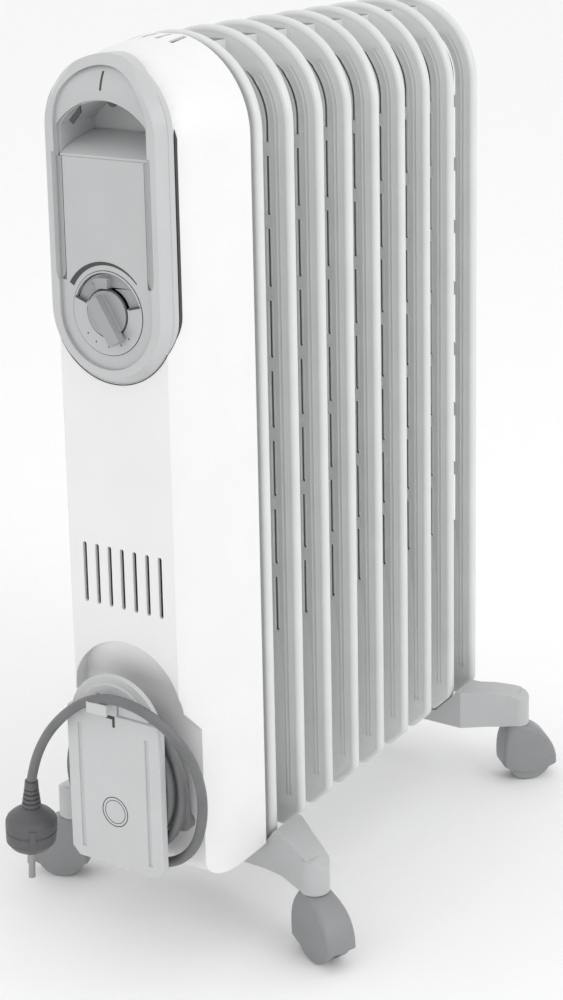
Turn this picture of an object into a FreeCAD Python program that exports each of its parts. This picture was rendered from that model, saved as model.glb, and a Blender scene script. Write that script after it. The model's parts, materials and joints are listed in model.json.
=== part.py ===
"""Oil filled radiator heater: nine pressed fins, a control casing, a cord wrap and four castors.

Millimetres, +Z up. The control panel faces -Y, the fins stack towards +Y, and the origin lies on the
floor in the middle of the object's box, cord left out. Depths are first given from the middle plane
of the first fin, and every solid is moved by DEPTH_SHIFT when it is saved.
"""
import FreeCAD, Part
import math
import os

Vector = FreeCAD.Vector
AXIS_X = Vector(1, 0, 0)
AXIS_Y = Vector(0, 1, 0)
AXIS_Z = Vector(0, 0, 1)

# ---- driving dimensions ---------------------------------------------------------------------------
DEPTH_SHIFT = -112.05       # from the first fin's plane to the middle of the object's box

FIN_COUNT = 9
FIN_PITCH = 37.7
FIN_HALF_WIDTH = 65.5
FIN_BOTTOM = 58.0
FIN_TOP = 638.0
FIN_CHAMFER = 15.0
SHEET = 1.6                 # two pressed sheets welded together
RIM_WIDTH = 3.0             # folded rim, across the fin
RIM_DEPTH = 7.5             # folded rim, along the stack; it is rolled back from the sheet's front

SLOT_X = 48.0               # air slots in each fin, middle of the row
SLOT_WIDTH = 3.4
SLOT_LENGTH = 41.3
SLOT_PERIOD = 50.2
SLOT_FIRST = 209.3          # lower end of the lowest slot
SLOT_STRAIGHT_COUNT = 7
SLOT_ARC_DEGREES = 48.0     # how far the top slot follows the arch

CHANNEL_HALF_WIDTH = 16.5   # oil channel up the middle of each fin
CHANNEL_TOP = 629.0
CHANNEL_WAIST = 160.0       # above it the channel fills the whole pitch
CHANNEL_SLIM_DEPTH = 8.0
WALL = 1.2                  # steel round the oil
HUB_RADIUS = 24.0           # lower oil header
HUB_BORE = 20.0
HUB_HEIGHT = 100.0
UPPER_HUB_HEIGHT = 590.0
UPPER_HUB_BORE = 11.0
FIRST_FRONT = 7.0           # oil channel in front of the first fin
LAST_BACK = 9.0             # oil channel behind the last fin

CASING_BACK = -9.0
CASING_FRONT = -77.0
CASING_BOTTOM = 66.0
CASING_WALL = 2.5
CASING_CHAMFER = 5.0
TOE_RADIUS = 12.0           # side view: rounding of the casing's lower front edge
SHIELD_Y = -12.0            # steel sheet across the casing's open back
ARCH_CENTRE = 572.5         # front view: centre of the round top
CROWN_RADIUS = 35.0         # side view: the front rounds back over this shoulder
CROWN_Y = -42.0
CROWN_Z = 600.0

BEZEL_HALF_WIDTH = 50.0
BEZEL_LOW_CENTRE = 463.0
BEZEL_TOP = 630.0
BEZEL_PROUD = 7.0
PANEL_HALF_WIDTH = 37.5
PANEL_TOP = 623.0
PANEL_PROUD = 4.5
PANEL_WALL = 3.0
HANDLE_SILL = 563.0
HANDLE_ARCH_TOP = 601.0
HANDLE_ARCH_RADIUS = 47.0
HANDLE_BACK = -40.0
SLIT_BOTTOM = 607.0         # pilot light
SLIT_TOP = 619.0
GROOVE_INNER = 33.0         # grooves down both sides of the panel's middle
GROOVE_BOTTOM = 481.0

DIAL_Z = 462.0
DIAL_RADIUS = 28.0
KNOB_RADIUS = 15.5
WINDOW_FROM = 15.0          # sector in which the thermostat ring shows, degrees from +X
WINDOW_TO = 161.0
RING_GRIP_AT = 97.0
SELECTOR_REST = -58.0       # where the selector's pointer stands

WRAP_PLATE_HALF_WIDTH = 39.0
WRAP_PLATE_BOTTOM = 74.0
WRAP_PLATE_TOP = 186.0
WRAP_ARCH_TOP = 213.0
HOOK_TOP = 198.0
HOOK_REACH = 11.0
HOOK_LIP = 8.5              # height of the hook's front lip
WRAP_PLATE_FRONT = -95.0
WRAP_PLATE_BACK = -88.0
SCOOP_HALF_WIDTH = 46.0
SCOOP_TOP = 232.0
SCOOP_FLOOR = -64.0
BAY_TOP = 192.0             # below it the whole front is set back to the scoop's floor
SPOOL_HALF_WIDTH = 31.0
SPOOL_BOTTOM = 96.0
SPOOL_TOP = 168.0
POST_OFFSET = 24.0          # screw posts above and below the spool's middle

FOOT_BOTTOM = 48.0
BOSS_X = 107.0
BOSS_RADIUS = 10.5
BOSS_TOP = 73.0
FRONT_BOSS_Y = -11.5
REAR_BOSS_Y = 299.0
U_BOLT_RADIUS = 27.0
U_BOLT_ROD = 3.0

CASTOR_TRAIL = 9.0
WHEEL_RADIUS = 19.5
WHEEL_WIDTH = 7.6
HOOD_RADIUS = 22.5
HOOD_HALF_WIDTH = 12.5
HOOD_SKIRT = 9.0            # the hood stops this far above the floor
WEB_HALF_WIDTH = 2.5
AXLE_RADIUS = 2.0
STEM_RADIUS = 4.0
FRONT_CASTOR_TURN = -22.0   # degrees from +X in which the right castors trail at rest
REAR_CASTOR_TURN = 45.0

CORD_RADIUS = 3.5
COIL_INNER = 34.0           # half width of the coil's hole
COIL_OUTER = 56.0
COIL_LOW_CENTRE = 130.0
COIL_HIGH_CENTRE = 136.0
COIL_FRONT = -87.5
COIL_BACK = -66.5
GLAND_Y = -70.0
GLAND_START = (39.0, 106.0)  # across and up; the sleeve points up along the first turn
GLAND_END = (39.0, 134.0)

# The lead from the coil over the plate's hook to the plug.
LEAD_ROUTE = [
    (-6.0, -77.0, 80.0), (16.0, -77.0, 73.5), (37.5, -77.0, 79.5), (54.0, -78.0, 95.0),
    (62.5, -80.0, 117.5), (65.0, -83.0, 142.5), (61.5, -89.0, 167.0), (49.0, -96.5, 187.5),
    (30.0, -101.0, 200.0), (7.0, -102.5, 203.0), (-15.0, -102.5, 196.5), (-34.0, -102.0, 182.5),
    (-52.0, -99.0, 164.0), (-66.0, -95.0, 144.0), (-74.5, -92.0, 126.0), (-77.5, -91.0, 116.5),
]
PLUG_TOP = LEAD_ROUTE[-1]
PLUG_LEAN = (-0.06, 0.0, -1.0)    # direction from the lead into the plug
PLUG_LENGTH = 51.0
PLUG_RADIUS = 18.3
PIN_RADIUS = 2.4
PIN_LENGTH = 19.0
PIN_SPREAD = (-0.68, 0.74, 0.0408)  # from one pin to the other, square to the lean


# ---- helpers --------------------------------------------------------------------------------------
def box(x0, x1, y0, y1, z0, z1):
    """Box between two corners."""
    return Part.makeBox(x1 - x0, y1 - y0, z1 - z0, Vector(x0, y0, z0))


def rod(radius, start, end):
    """Cylinder from one point to another."""
    start = Vector(*start)
    axis = Vector(*end) - start
    return Part.makeCylinder(radius, axis.Length, start, axis)


def tube(outer, inner, start, end):
    """Cylinder with a concentric bore right through."""
    return rod(outer, start, end).cut(rod(inner, start, end))


def polygon_prism(points, direction):
    """Prism of a closed outline of 3-D points."""
    corners = [Vector(*point) for point in points]
    return Part.Face(Part.makePolygon(corners + corners[:1])).extrude(Vector(*direction))


def arch_wire(half_width, bottom, top, chamfer, y, arc_radius=None):
    """Front view outline: chamfered bottom corners, straight sides and a half round top."""
    radius = arc_radius or half_width
    spring = top - radius
    points = [
        Vector(-half_width + chamfer, y, bottom),
        Vector(half_width - chamfer, y, bottom),
        Vector(half_width, y, bottom + chamfer),
        Vector(half_width, y, spring),
    ]
    left = [Vector(-half_width, y, spring), Vector(-half_width, y, bottom + chamfer)]
    edges = [Part.LineSegment(a, b).toShape() for a, b in zip(points, points[1:])]
    edges.append(Part.Arc(points[3], Vector(0, y, top), left[0]).toShape())
    edges.append(Part.LineSegment(left[0], left[1]).toShape())
    edges.append(Part.LineSegment(left[1], points[0]).toShape())
    return Part.Wire(edges)


def arch_prism(half_width, bottom, top, chamfer, y0, y1):
    """Solid arch between two depths."""
    face = Part.Face(arch_wire(half_width, bottom, top, chamfer, y0))
    return face.extrude(Vector(0, y1 - y0, 0))


def stadium_prism(half_width, low_centre, high_centre, y0, y1):
    """Solid with straight sides and half round ends, between two depths."""
    low = rod(half_width, (0, y0, low_centre), (0, y1, low_centre))
    high = rod(half_width, (0, y0, high_centre), (0, y1, high_centre))
    middle = box(-half_width, half_width, y0, y1, low_centre, high_centre)
    return low.fuse([high, middle]).removeSplitter()


def sector(inner, outer, from_degrees, to_degrees, y0, y1, centre_z):
    """Part of a flat ring about an axis along Y, angles from +X towards +Z."""
    def at(radius, degrees):
        angle = math.radians(degrees)
        return Vector(radius * math.cos(angle), y0, centre_z + radius * math.sin(angle))

    middle = (from_degrees + to_degrees) / 2
    edges = [
        Part.LineSegment(at(inner, from_degrees), at(outer, from_degrees)).toShape(),
        Part.Arc(at(outer, from_degrees), at(outer, middle), at(outer, to_degrees)).toShape(),
        Part.LineSegment(at(outer, to_degrees), at(inner, to_degrees)).toShape(),
        Part.Arc(at(inner, to_degrees), at(inner, middle), at(inner, from_degrees)).toShape(),
    ]
    return Part.Face(Part.Wire(edges)).extrude(Vector(0, y1 - y0, 0))


def rounded_slot(x, z0, z1, width, y0, y1):
    """Upright slot with half round ends."""
    radius = width / 2
    low = rod(radius, (x, y0, z0 + radius), (x, y1, z0 + radius))
    high = rod(radius, (x, y0, z1 - radius), (x, y1, z1 - radius))
    return low.fuse([high, box(x - radius, x + radius, y0, y1, z0 + radius, z1 - radius)])


def mirrored_x(shape):
    """The same shape on the other side."""
    return shape.mirror(Vector(0, 0, 0), AXIS_X)


def save(name, shape):
    """Move a sub-part to the object's own frame and write it."""
    moved = shape.copy()
    moved.translate(Vector(0, DEPTH_SHIFT, 0))
    if not moved.isValid():
        print("not valid:", name)
    moved.exportStep("parts/" + name + ".step")
    SAVED[name] = moved


SAVED = {}


# ---- fins -----------------------------------------------------------------------------------------
def fin_slots():
    """Row of air slots on both sides: straight ones and one that follows the arch."""
    y0, y1 = -SHEET, SHEET
    arch_centre = ARCH_CENTRE
    slots = []
    for index in range(SLOT_STRAIGHT_COUNT):
        z0 = SLOT_FIRST + index * SLOT_PERIOD
        slots.append(box(SLOT_X - SLOT_WIDTH / 2, SLOT_X + SLOT_WIDTH / 2, y0, y1, z0, z0 + SLOT_LENGTH))
    z0 = SLOT_FIRST + SLOT_STRAIGHT_COUNT * SLOT_PERIOD
    slots.append(box(SLOT_X - SLOT_WIDTH / 2, SLOT_X + SLOT_WIDTH / 2, y0, y1, z0, arch_centre))
    slots.append(sector(SLOT_X - SLOT_WIDTH / 2, SLOT_X + SLOT_WIDTH / 2, 0, SLOT_ARC_DEGREES,
                        y0, y1, arch_centre))
    return slots + [mirrored_x(slot) for slot in slots]


def fin_oil_channel(front, back):
    """Oil channel and lower header of one fin, before they are hollowed."""
    half = CHANNEL_HALF_WIDTH
    upper = box(-half, half, -front, back, CHANNEL_WAIST, CHANNEL_TOP)
    lower = box(-half, half, -min(CHANNEL_SLIM_DEPTH, front), CHANNEL_SLIM_DEPTH, HUB_HEIGHT, CHANNEL_WAIST)
    hub = rod(HUB_RADIUS, (0, -front, HUB_HEIGHT), (0, back, HUB_HEIGHT))
    return upper.fuse([lower, hub])


def fin(index):
    """One pressed fin with its folded rim, air slots, oil channel and lower header."""
    first = index == 0
    last = index == FIN_COUNT - 1
    front = FIRST_FRONT if first else FIN_PITCH / 2
    back = LAST_BACK if last else FIN_PITCH / 2
    outline = (FIN_BOTTOM, FIN_TOP, FIN_CHAMFER)
    sheet = arch_prism(FIN_HALF_WIDTH - 1, FIN_BOTTOM + 1, FIN_TOP - 1, FIN_CHAMFER, -SHEET / 2, SHEET / 2)
    rim_back = RIM_DEPTH - SHEET / 2
    rim = arch_prism(FIN_HALF_WIDTH, *outline, -SHEET / 2, rim_back)
    rim = rim.cut(arch_prism(FIN_HALF_WIDTH - RIM_WIDTH, FIN_BOTTOM + RIM_WIDTH, FIN_TOP - RIM_WIDTH,
                             FIN_CHAMFER, -SHEET, rim_back + 1))
    body = sheet.cut(fin_slots()).fuse([rim, fin_oil_channel(front, back)])
    body = body.cut(fin_hollow(front, back))
    reach = 60.0
    start = -reach
    end = back - WALL if last else reach
    body = body.cut(rod(HUB_BORE, (0, start, HUB_HEIGHT), (0, end, HUB_HEIGHT)))
    upper_start = -front + WALL if first else -reach
    body = body.cut(rod(UPPER_HUB_BORE, (0, upper_start, UPPER_HUB_HEIGHT), (0, reach, UPPER_HUB_HEIGHT)))
    return body.translated(Vector(0, index * FIN_PITCH, 0))


def fin_hollow(front, back):
    """The oil's space inside one fin."""
    half = CHANNEL_HALF_WIDTH - WALL
    slim = min(CHANNEL_SLIM_DEPTH, front) - WALL
    upper = box(-half, half, -front + WALL, back - WALL, CHANNEL_WAIST + WALL, CHANNEL_TOP - WALL)
    lower = box(-half, half, -slim, CHANNEL_SLIM_DEPTH - WALL, HUB_HEIGHT, CHANNEL_WAIST + 2 * WALL)
    hub = rod(HUB_RADIUS - WALL, (0, -front + WALL, HUB_HEIGHT), (0, back - WALL, HUB_HEIGHT))
    return upper.fuse([lower, hub])


def stack_end():
    """Depth of the last fin's plane."""
    return (FIN_COUNT - 1) * FIN_PITCH


def hexagon(radius, y, z_middle):
    """Corners of an upright hexagon round the middle of the fins."""
    corners = [math.radians(60 * k) for k in range(6)]
    return [(radius * math.cos(a), y, z_middle + radius * math.sin(a)) for a in corners]


def filler_plug():
    """Screwed plug that closes the oil space, on the back of the last fin."""
    y = stack_end() + LAST_BACK
    thread = rod(UPPER_HUB_BORE, (0, y - WALL, UPPER_HUB_HEIGHT), (0, y, UPPER_HUB_HEIGHT))
    return thread.fuse(polygon_prism(hexagon(15.0, y, UPPER_HUB_HEIGHT), (0, 5, 0)))


def element_flange():
    """Hexagonal flange that closes the front of the lower header and carries the element."""
    head = polygon_prism(hexagon(27.0, -FIRST_FRONT, HUB_HEIGHT), (0, -6, 0))
    spigot = rod(HUB_BORE - 0.5, (0, -FIRST_FRONT, HUB_HEIGHT), (0, -FIRST_FRONT + 6, HUB_HEIGHT))
    return head.fuse(spigot)


def heating_element():
    """Two hairpin heating rods that run the length of the lower header."""
    start = -FIRST_FRONT + 6
    end = stack_end() - 20
    radius = 3.2
    hairpins = []
    for x in (-9.0, 9.0):
        legs = [rod(radius, (x, start, HUB_HEIGHT + dz), (x, end, HUB_HEIGHT + dz)) for dz in (-7.0, 7.0)]
        bend = Part.makeTorus(7.0, radius, Vector(x, end, HUB_HEIGHT), AXIS_X)
        bend = bend.common(box(x - 12, x + 12, end, end + 20, HUB_HEIGHT - 15, HUB_HEIGHT + 15))
        hairpins.append(legs[0].fuse([legs[1], bend]))
    return Part.makeCompound(hairpins)


# ---- casing ---------------------------------------------------------------------------------------
PLAN_CORNERS = [(CASING_BACK, 65.5), (-48.0, 60.5), (-73.0, 48.0), (CASING_FRONT, 43.5)]


def crown_prism(proud):
    """Side view of the casing as a prism: upright front, rounded shoulder, top rising to the back."""
    front = CASING_FRONT - proud
    radius = CROWN_RADIUS + proud
    shoulder = Vector(-80, front, CROWN_Z)
    lean = math.radians(45)
    middle = Vector(-80, CROWN_Y - radius * math.cos(lean), CROWN_Z + radius * math.sin(lean))
    top = Vector(-80, CROWN_Y, CROWN_Z + radius)
    back_top = Vector(-80, 0, FIN_TOP - 1 + proud)
    back_low = Vector(-80, 0, 0)
    low = Vector(-80, front, 0)
    corners = [top, back_top, back_low, low, shoulder]
    edges = [Part.Arc(shoulder, middle, top).toShape()]
    edges += [Part.LineSegment(a, b).toShape() for a, b in zip(corners, corners[1:])]
    return Part.Face(Part.Wire(edges)).extrude(Vector(160, 0, 0))


def casing_block(wall):
    """Outer body of the casing, or its inside when a wall is given: facets carried over an arch."""
    corners = [(y + (wall if y == CASING_FRONT else 0), half - wall) for y, half in PLAN_CORNERS]
    if wall:
        corners[0] = (CASING_BACK + 1.0, corners[0][1])
    bottom = CASING_BOTTOM + wall
    plan = [(half, y, bottom) for y, half in corners] + [(-half, y, bottom) for y, half in reversed(corners)]
    body = polygon_prism(plan, (0, 0, ARCH_CENTRE - bottom))
    for (y0, r0), (y1, r1) in zip(corners, corners[1:]):
        body = body.fuse(Part.makeCone(r0, r1, y0 - y1, Vector(0, y0, ARCH_CENTRE), Vector(0, -1, 0)))
    for side in (-1, 1):
        wedge = [(side * (66 - CASING_CHAMFER), 0, bottom - 1), (side * 70, 0, bottom - 1),
                 (side * 70, 0, bottom + CASING_CHAMFER + 4), (side * 66, 0, bottom + CASING_CHAMFER)]
        body = body.cut(polygon_prism(wedge, (0, -100, 0)))
    toe_y = SCOOP_FLOOR + TOE_RADIUS
    toe_z = CASING_BOTTOM + TOE_RADIUS
    toe = box(-80, 80, -100, toe_y, 0, toe_z)
    toe = toe.cut(rod(TOE_RADIUS - wall, (-80, toe_y, toe_z), (80, toe_y, toe_z)))
    return body.common(crown_prism(-wall)).cut(toe)


def set_back(top, slope, grow):
    """Side view of a hollow in the casing's front, as a prism across the whole casing."""
    y0 = CASING_FRONT - 10
    floor = SCOOP_FLOOR + grow
    profile = [(-80, y0, 30), (-80, y0, top + grow + 12), (-80, CASING_FRONT, top + grow),
               (-80, floor, top - slope + grow), (-80, floor, 30)]
    return polygon_prism(profile, (160, 0, 0))


def scoop(grow):
    """Room for the cord low on the casing's front: a bay across it with an arched hollow on top."""
    arch = arch_prism(SCOOP_HALF_WIDTH + grow, 30.0, SCOOP_TOP + grow, 5.0,
                      CASING_FRONT - 10, SCOOP_FLOOR + grow)
    return arch.common(set_back(SCOOP_TOP, 34.0, grow)).fuse(set_back(BAY_TOP, 16.0, grow))


def front_vents():
    """Seven upright vents in the casing's front."""
    return [rounded_slot(10.5 * k, 255.5, 298.5, 3.2, CASING_FRONT - 5, CASING_FRONT + 10)
            for k in range(-3, 4)]


def top_vents():
    """Four short vents over the casing's top."""
    return [box(x - 1.7, x + 1.7, -28.0, -11.0, CROWN_Z + 25, FIN_TOP + 5)
            for x in (-17.25, -5.75, 5.75, 17.25)]


def casing():
    """Moulded front casing, open at the back, with the scoop, vents and the panel's opening."""
    outside = casing_block(0).cut(scoop(0))
    inside = casing_block(CASING_WALL).cut(scoop(CASING_WALL))
    shell = outside.cut(inside)
    opening = stadium_prism(42.0, BEZEL_LOW_CENTRE, 578.0, CASING_FRONT - 20, -45.0)
    gland_hole = rod(5.5, (GLAND_START[0], SCOOP_FLOOR - 5, GLAND_START[1]),
                     (GLAND_START[0], SCOOP_FLOOR + 10, GLAND_START[1]))
    return shell.cut([opening, gland_hole] + front_vents() + top_vents())


def heat_shield():
    """Steel sheet behind the works, with bosses that stand it off the first fin."""
    inside = casing_block(CASING_WALL).common(box(-70, 70, SHIELD_Y, SHIELD_Y + 1.0, 50, 650))
    inside = inside.cut(rod(32.0, (0, SHIELD_Y - 5, HUB_HEIGHT), (0, SHIELD_Y + 5, HUB_HEIGHT)))
    bosses = [rod(6.0, (0, SHIELD_Y + 1.0, z), (0, -FIRST_FRONT, z)) for z in (200.0, 560.0)]
    return inside.fuse(bosses)


def stadium_wire(half_width, low_centre, high_centre, y):
    """Closed outline with straight sides and half round ends."""
    low_left, low_right = Vector(-half_width, y, low_centre), Vector(half_width, y, low_centre)
    high_left, high_right = Vector(-half_width, y, high_centre), Vector(half_width, y, high_centre)
    return Part.Wire([
        Part.Arc(low_left, Vector(0, y, low_centre - half_width), low_right).toShape(),
        Part.LineSegment(low_right, high_right).toShape(),
        Part.Arc(high_right, Vector(0, y, high_centre + half_width), high_left).toShape(),
        Part.LineSegment(high_left, low_left).toShape(),
    ])


def bezel():
    """Raised frame round the control panel, bevelled outside; it follows the casing over the top."""
    low = BEZEL_LOW_CENTRE
    high = BEZEL_TOP - BEZEL_HALF_WIDTH
    front = CASING_FRONT - BEZEL_PROUD
    frame = stadium_prism(BEZEL_HALF_WIDTH, low, high, CASING_FRONT + 1.0, -30.0)
    bevel = Part.makeLoft([stadium_wire(BEZEL_HALF_WIDTH, low, high, CASING_FRONT + 1.0),
                           stadium_wire(BEZEL_HALF_WIDTH - 6.0, low, high - 1.0, front)], True, True)
    opening = stadium_prism(PANEL_HALF_WIDTH, DIAL_Z, PANEL_TOP - PANEL_HALF_WIDTH, CASING_FRONT - 30, 0.0)
    frame = frame.fuse(bevel).common(crown_prism(BEZEL_PROUD)).cut(opening)
    return frame.cut(crown_prism(0)).fuse(bezel_edge().cut(opening)).cut(casing_block(0))


def bezel_edge():
    """Part of the frame that laps over the casing's first facet."""
    high = BEZEL_TOP - BEZEL_HALF_WIDTH
    lap = stadium_prism(BEZEL_HALF_WIDTH, BEZEL_LOW_CENTRE, high, CASING_FRONT, -72.0)
    return lap.common(crown_prism(0)).cut(crown_prism(-6.0))


def handle_opening(grow, y0, y1):
    """Hand hole: a straight sill and an arched top."""
    rise = stadium_prism(PANEL_HALF_WIDTH - 1.0 + grow, HANDLE_SILL + 10, 700, y0, y1)
    arch = rod(HANDLE_ARCH_RADIUS + grow, (0, y0, HANDLE_ARCH_TOP - HANDLE_ARCH_RADIUS),
               (0, y1, HANDLE_ARCH_TOP - HANDLE_ARCH_RADIUS))
    above_sill = box(-60, 60, y0, y1, HANDLE_SILL - grow, 700)
    return rise.fuse(box(-PANEL_HALF_WIDTH + 1 - grow, PANEL_HALF_WIDTH - 1 + grow, y0, y1,
                         HANDLE_SILL - grow, HANDLE_SILL + 10)).common(arch).common(above_sill)


def control_panel():
    """Inner panel with the hand hole, side grooves, pilot slit and the dial's hole."""
    plate = stadium_prism(PANEL_HALF_WIDTH, DIAL_Z, PANEL_TOP - PANEL_HALF_WIDTH, CASING_FRONT - 20, -30.0)
    plate = plate.common(crown_prism(PANEL_PROUD)).cut(crown_prism(PANEL_PROUD - PANEL_WALL))
    front = CASING_FRONT - PANEL_PROUD
    hole = handle_opening(0, front - 10, -20)
    dial = rod(DIAL_RADIUS, (0, front - 5, DIAL_Z), (0, front + 10, DIAL_Z))
    slit = box(-0.9, 0.9, front - 5, -40, SLIT_BOTTOM, SLIT_TOP)
    groove = box(GROOVE_INNER, PANEL_HALF_WIDTH - 0.8, front - 5, front + 2.0, GROOVE_BOTTOM, HANDLE_SILL + 1)
    return plate.cut([hole, dial, slit, groove, mirrored_x(groove)])


def handle_cup():
    """Moulded cup behind the hand hole that the fingers reach into."""
    front = CASING_FRONT - PANEL_PROUD + PANEL_WALL
    fits_bezel = stadium_prism(PANEL_HALF_WIDTH - 0.3, DIAL_Z, PANEL_TOP - PANEL_HALF_WIDTH,
                               front, HANDLE_BACK)
    outside = handle_opening(2.0, front, HANDLE_BACK).common(fits_bezel)
    inside = handle_opening(-0.8, front - 1, HANDLE_BACK - 2.0)
    return outside.cut(inside).common(crown_prism(PANEL_PROUD - PANEL_WALL))


def pilot_lens():
    """Clear slit lens over the pilot lamp, held in the crown of the panel."""
    slit = box(-0.9, 0.9, -90, -40, SLIT_BOTTOM, SLIT_TOP)
    return slit.common(crown_prism(PANEL_PROUD - 0.3)).cut(crown_prism(PANEL_PROUD - PANEL_WALL - 1.0))


def pilot_lamp():
    """Neon lamp behind the lens."""
    z = (SLIT_BOTTOM + SLIT_TOP) / 2
    lamp = rod(3.0, (0, CASING_FRONT, z), (0, -52.0, z))
    return lamp.common(crown_prism(PANEL_PROUD - PANEL_WALL - 1.0))


def dial_plate():
    """Fixed face of the dial: a disc with the knob's hole and the thermostat's window."""
    front = CASING_FRONT - PANEL_PROUD - 0.5
    disc = rod(DIAL_RADIUS, (0, front, DIAL_Z), (0, front + 2.0, DIAL_Z))
    knob_hole = rod(KNOB_RADIUS + 0.6, (0, front - 1, DIAL_Z), (0, front + 3, DIAL_Z))
    window = sector(KNOB_RADIUS + 0.5, DIAL_RADIUS - 1.2, WINDOW_FROM, WINDOW_TO,
                    front - 1, front + 3, DIAL_Z)
    cup = tube(DIAL_RADIUS, DIAL_RADIUS - 1.2, (0, front + 2.0, DIAL_Z), (0, front + 9.0, DIAL_Z))
    floor = tube(DIAL_RADIUS, 6.0, (0, front + 9.0, DIAL_Z), (0, front + 10.5, DIAL_Z))
    return disc.cut([knob_hole, window]).fuse([cup, floor])


def thermostat_ring():
    """Ring with a finger grip that turns behind the dial's window, on a hollow shaft."""
    front = CASING_FRONT - PANEL_PROUD - 0.5
    ring = tube(DIAL_RADIUS - 1.6, 5.0, (0, front + 4.5, DIAL_Z), (0, front + 6.5, DIAL_Z))
    face = sector(KNOB_RADIUS + 1.2, DIAL_RADIUS - 1.8, WINDOW_FROM - 60, WINDOW_TO + 60,
                  front + 2.4, front + 4.5, DIAL_Z)
    grip = sector(KNOB_RADIUS + 1.4, DIAL_RADIUS - 4.0, RING_GRIP_AT - 14, RING_GRIP_AT + 14,
                  front - 3.0, front + 4.5, DIAL_Z)
    return ring.fuse([face, grip])


def thermostat_shaft():
    """Hollow shaft between the ring and the thermostat."""
    front = CASING_FRONT - PANEL_PROUD - 0.5
    return tube(5.0, 3.1, (0, front + 4.5, DIAL_Z), (0, front + 30.0, DIAL_Z))


def thermostat():
    """Thermostat body round the hollow shaft, behind the dial."""
    front = CASING_FRONT - PANEL_PROUD - 0.5
    body = box(-16, 16, front + 14.0, front + 34.0, DIAL_Z - 14, DIAL_Z + 14)
    body = body.cut(rod(5.05, (0, front + 10, DIAL_Z), (0, front + 30.5, DIAL_Z)))
    body = body.cut(rod(3.2, (0, front + 20, DIAL_Z), (0, front + 40, DIAL_Z)))
    posts = [rod(2.5, (x, front + 10.5, DIAL_Z + z), (x, front + 14.0, DIAL_Z + z))
             for x in (-11, 11) for z in (-10, 10)]
    return body.fuse(posts)


def selector_knob():
    """Round knob with a raised pointer bar."""
    front = CASING_FRONT - PANEL_PROUD - 0.5
    disc = rod(KNOB_RADIUS, (0, front - 1.5, DIAL_Z), (0, front + 2.0, DIAL_Z))
    bar = box(-12.5, 21.0, front - 9.0, front - 1.5, DIAL_Z - 4.6, DIAL_Z + 4.6)
    bar = bar.rotated(Vector(0, 0, DIAL_Z), AXIS_Y, -SELECTOR_REST)
    neck = rod(4.5, (0, front + 2.0, DIAL_Z), (0, front + 4.2, DIAL_Z))
    socket = rod(2.9, (0, front - 1.0, DIAL_Z), (0, front + 10.0, DIAL_Z))
    return disc.fuse([bar, neck]).cut(socket)


def selector_shaft():
    """Solid shaft from the knob through the thermostat to the switch."""
    front = CASING_FRONT - PANEL_PROUD - 0.5
    return rod(2.9, (0, front - 1.0, DIAL_Z), (0, front + 42.0, DIAL_Z))


def selector_switch():
    """Rotary power switch behind the thermostat."""
    front = CASING_FRONT - PANEL_PROUD - 0.5
    body = box(-18, 18, front + 34.0, front + 50.0, DIAL_Z - 16, DIAL_Z + 16)
    return body.cut(rod(2.95, (0, front + 30, DIAL_Z), (0, front + 42.5, DIAL_Z)))


def terminal_block():
    """Terminal block on the heat shield where the lead ends."""
    return box(-20, 20, SHIELD_Y - 16, SHIELD_Y, 330, 350)


def thermal_cutout():
    """Safety cut-out held against the heat shield."""
    disc = rod(9.0, (0, SHIELD_Y - 7, 240), (0, SHIELD_Y, 240))
    tabs = [box(x - 3, x + 3, SHIELD_Y - 15, SHIELD_Y - 7, 239.5, 240.5) for x in (-5, 5)]
    return disc.fuse(tabs)


def casing_screws():
    """Two screws through the heat shield's bosses into the first fin's studs."""
    screws = []
    for z in (200.0, 560.0):
        screws.append(rod(5.0, (0, SHIELD_Y - 3, z), (0, SHIELD_Y, z)))
    return Part.makeCompound(screws)


# ---- cord wrap ------------------------------------------------------------------------------------
def wrap_spool():
    """Oval spool between the casing and the wrap's plate."""
    middle = (SPOOL_BOTTOM + SPOOL_TOP) / 2
    low = SPOOL_BOTTOM + SPOOL_HALF_WIDTH
    high = SPOOL_TOP - SPOOL_HALF_WIDTH
    outer = stadium_prism(SPOOL_HALF_WIDTH, low, high, WRAP_PLATE_BACK, SCOOP_FLOOR)
    inner = stadium_prism(SPOOL_HALF_WIDTH - 2.5, low, high, WRAP_PLATE_BACK, SCOOP_FLOOR - 2.5)
    posts = [rod(4.0, (0, WRAP_PLATE_BACK, middle + dz), (0, SCOOP_FLOOR - 2.5, middle + dz))
             for dz in (-POST_OFFSET, POST_OFFSET)]
    return outer.cut(inner).fuse(posts)


def wrap_plate():
    """Plate in front of the spool, with grooves and a hook on top that holds the lead."""
    w = WRAP_PLATE_HALF_WIDTH
    plate = arch_prism(w, WRAP_PLATE_BOTTOM, WRAP_PLATE_TOP + w - 8, 6.0, WRAP_PLATE_FRONT, WRAP_PLATE_BACK)
    plate = plate.common(box(-w, w, -200, 0, 0, WRAP_PLATE_TOP))
    grooves = [box(x - 1.5, x + 1.5, WRAP_PLATE_FRONT - 1, WRAP_PLATE_FRONT + 1.5, WRAP_PLATE_BOTTOM + 8,
                   WRAP_PLATE_TOP - 12) for x in (-28.5, 28.5)]
    lip = WRAP_PLATE_FRONT - HOOK_REACH
    hook = box(-13, 4, lip, WRAP_PLATE_BACK - 4, WRAP_PLATE_TOP - 4, HOOK_TOP)
    hook = hook.cut(box(-14, 5, lip + 2.5, WRAP_PLATE_FRONT, WRAP_PLATE_TOP - 5, HOOK_TOP - 5))
    hook = hook.cut(box(-14, 5, lip - 1, WRAP_PLATE_FRONT, WRAP_PLATE_TOP - 5, HOOK_TOP - HOOK_LIP))
    return plate.cut(grooves).fuse(hook)


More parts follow.
